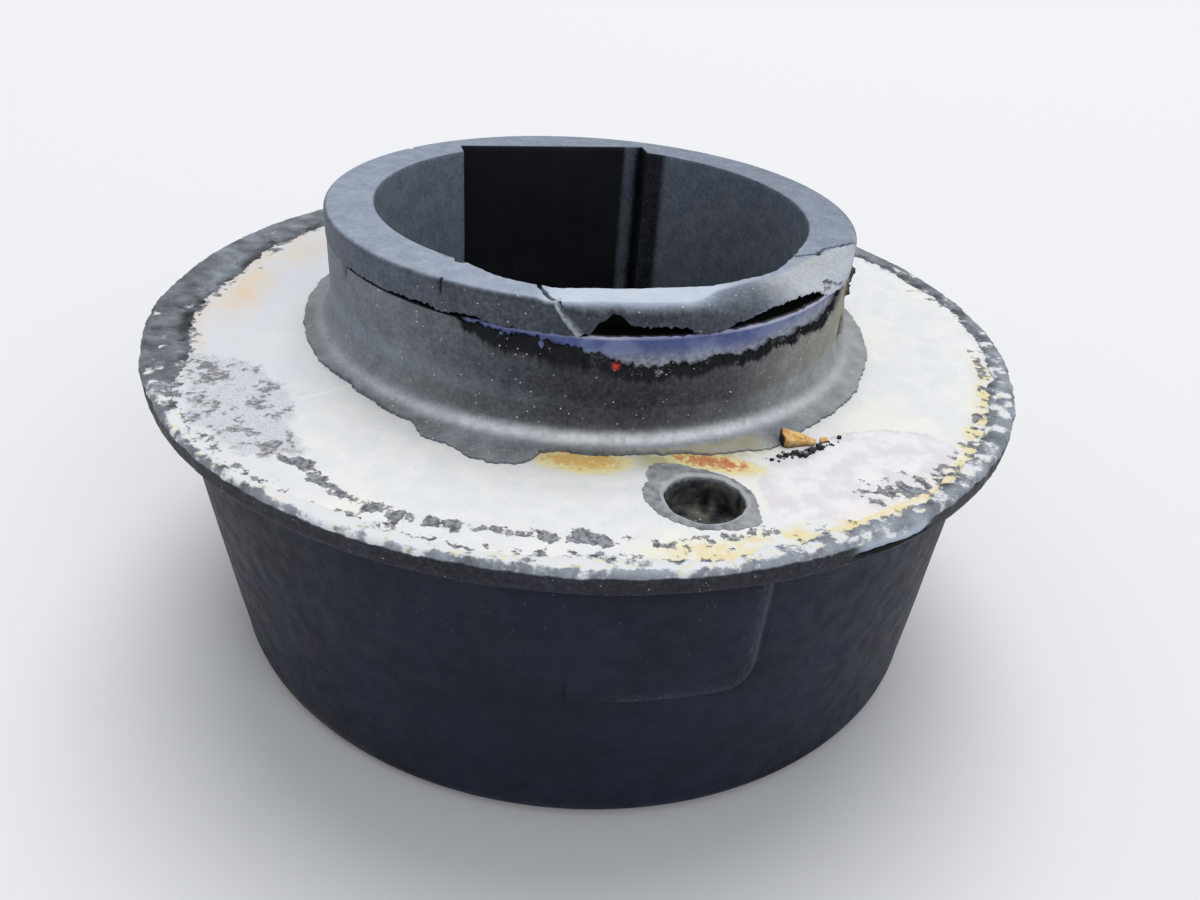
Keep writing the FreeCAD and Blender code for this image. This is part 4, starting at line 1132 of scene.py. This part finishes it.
def make_floor():
    mesh = bpy.data.meshes.new("floor")
    corners = [(-FLOOR_HALF, -FLOOR_HALF, 0), (FLOOR_HALF, -FLOOR_HALF, 0), (FLOOR_HALF, FLOOR_HALF, 0),
               (-FLOOR_HALF, FLOOR_HALF, 0)]
    mesh.from_pydata(corners, [], [(0, 1, 2, 3)])
    material = bpy.data.materials.new("pale_floor")
    material.use_nodes = True
    shader = material.node_tree.nodes["Principled BSDF"]
    shader.inputs["Base Color"].default_value = BACKDROP
    shader.inputs["Roughness"].default_value = 0.9
    shader.inputs["Specular IOR Level"].default_value = 0.1
    mesh.materials.append(material)
    floor = bpy.data.objects.new("floor", mesh)
    bpy.context.scene.collection.objects.link(floor)


def make_world():
    """A soft sky light; the camera sees the backdrop's colour instead of it."""
    world = bpy.data.worlds.new("studio")
    bpy.context.scene.world = world
    world.use_nodes = True
    tree = world.node_tree
    tree.nodes.clear()
    path = tree.nodes.new("ShaderNodeLightPath")
    mix = tree.nodes.new("ShaderNodeMixShader")
    output = tree.nodes.new("ShaderNodeOutputWorld")
    tree.links.new(path.outputs["Is Camera Ray"], mix.inputs[0])
    for side, colour, strength in ((1, (0.94, 0.97, 1.0, 1.0), 0.56), (2, BACKDROP, 1.0)):
        light = tree.nodes.new("ShaderNodeBackground")
        light.inputs["Color"].default_value = colour
        light.inputs["Strength"].default_value = strength
        tree.links.new(light.outputs[0], mix.inputs[side])
    tree.links.new(mix.outputs[0], output.inputs["Surface"])


def make_lamp(name, place, size, power, colour):
    """A round lamp turned toward the part."""
    data = bpy.data.lights.new(name, "AREA")
    data.shape = "DISK"
    data.size = size
    data.energy = power
    data.color = colour
    lamp = bpy.data.objects.new(name, data)
    lamp.location = place
    aim = Vector((0.0, 0.0, 0.02)) - Vector(place)
    lamp.rotation_euler = aim.to_track_quat("-Z", "Y").to_euler()
    bpy.context.scene.collection.objects.link(lamp)


def make_camera():
    """A wide lens close to the part, looking down on it and slightly rolled."""
    yaw, pitch, roll = math.radians(1.553), math.radians(31.84), math.radians(-4.57)
    forward = Vector((math.sin(yaw) * math.cos(pitch), math.cos(yaw) * math.cos(pitch), -math.sin(pitch)))
    level_right = Vector((math.cos(yaw), -math.sin(yaw), 0.0))
    level_down = forward.cross(level_right)
    right = math.cos(roll) * level_right + math.sin(roll) * level_down
    down = -math.sin(roll) * level_right + math.cos(roll) * level_down
    data = bpy.data.cameras.new("camera")
    data.sensor_width = 36.0
    data.sensor_fit = "HORIZONTAL"
    data.lens = 30.0
    data.clip_start = 0.001
    data.clip_end = 20.0
    camera = bpy.data.objects.new("camera", data)
    axes = Matrix((right, -down, -forward)).transposed().to_4x4()
    camera.matrix_world = Matrix.Translation((0.0, -0.0929, 0.0723)) @ axes
    bpy.context.scene.collection.objects.link(camera)
    bpy.context.scene.camera = camera


make_floor()
make_world()
make_lamp("top_lamp", (0.1, 1.0, 2.9), 2.25, 54.0, (1.0, 0.985, 0.96))
make_lamp("front_lamp", (1.5, -1.9, 1.7), 1.5, 12.5, (0.96, 0.98, 1.0))
make_camera()
bpy.context.scene.view_settings.view_transform = "Standard"
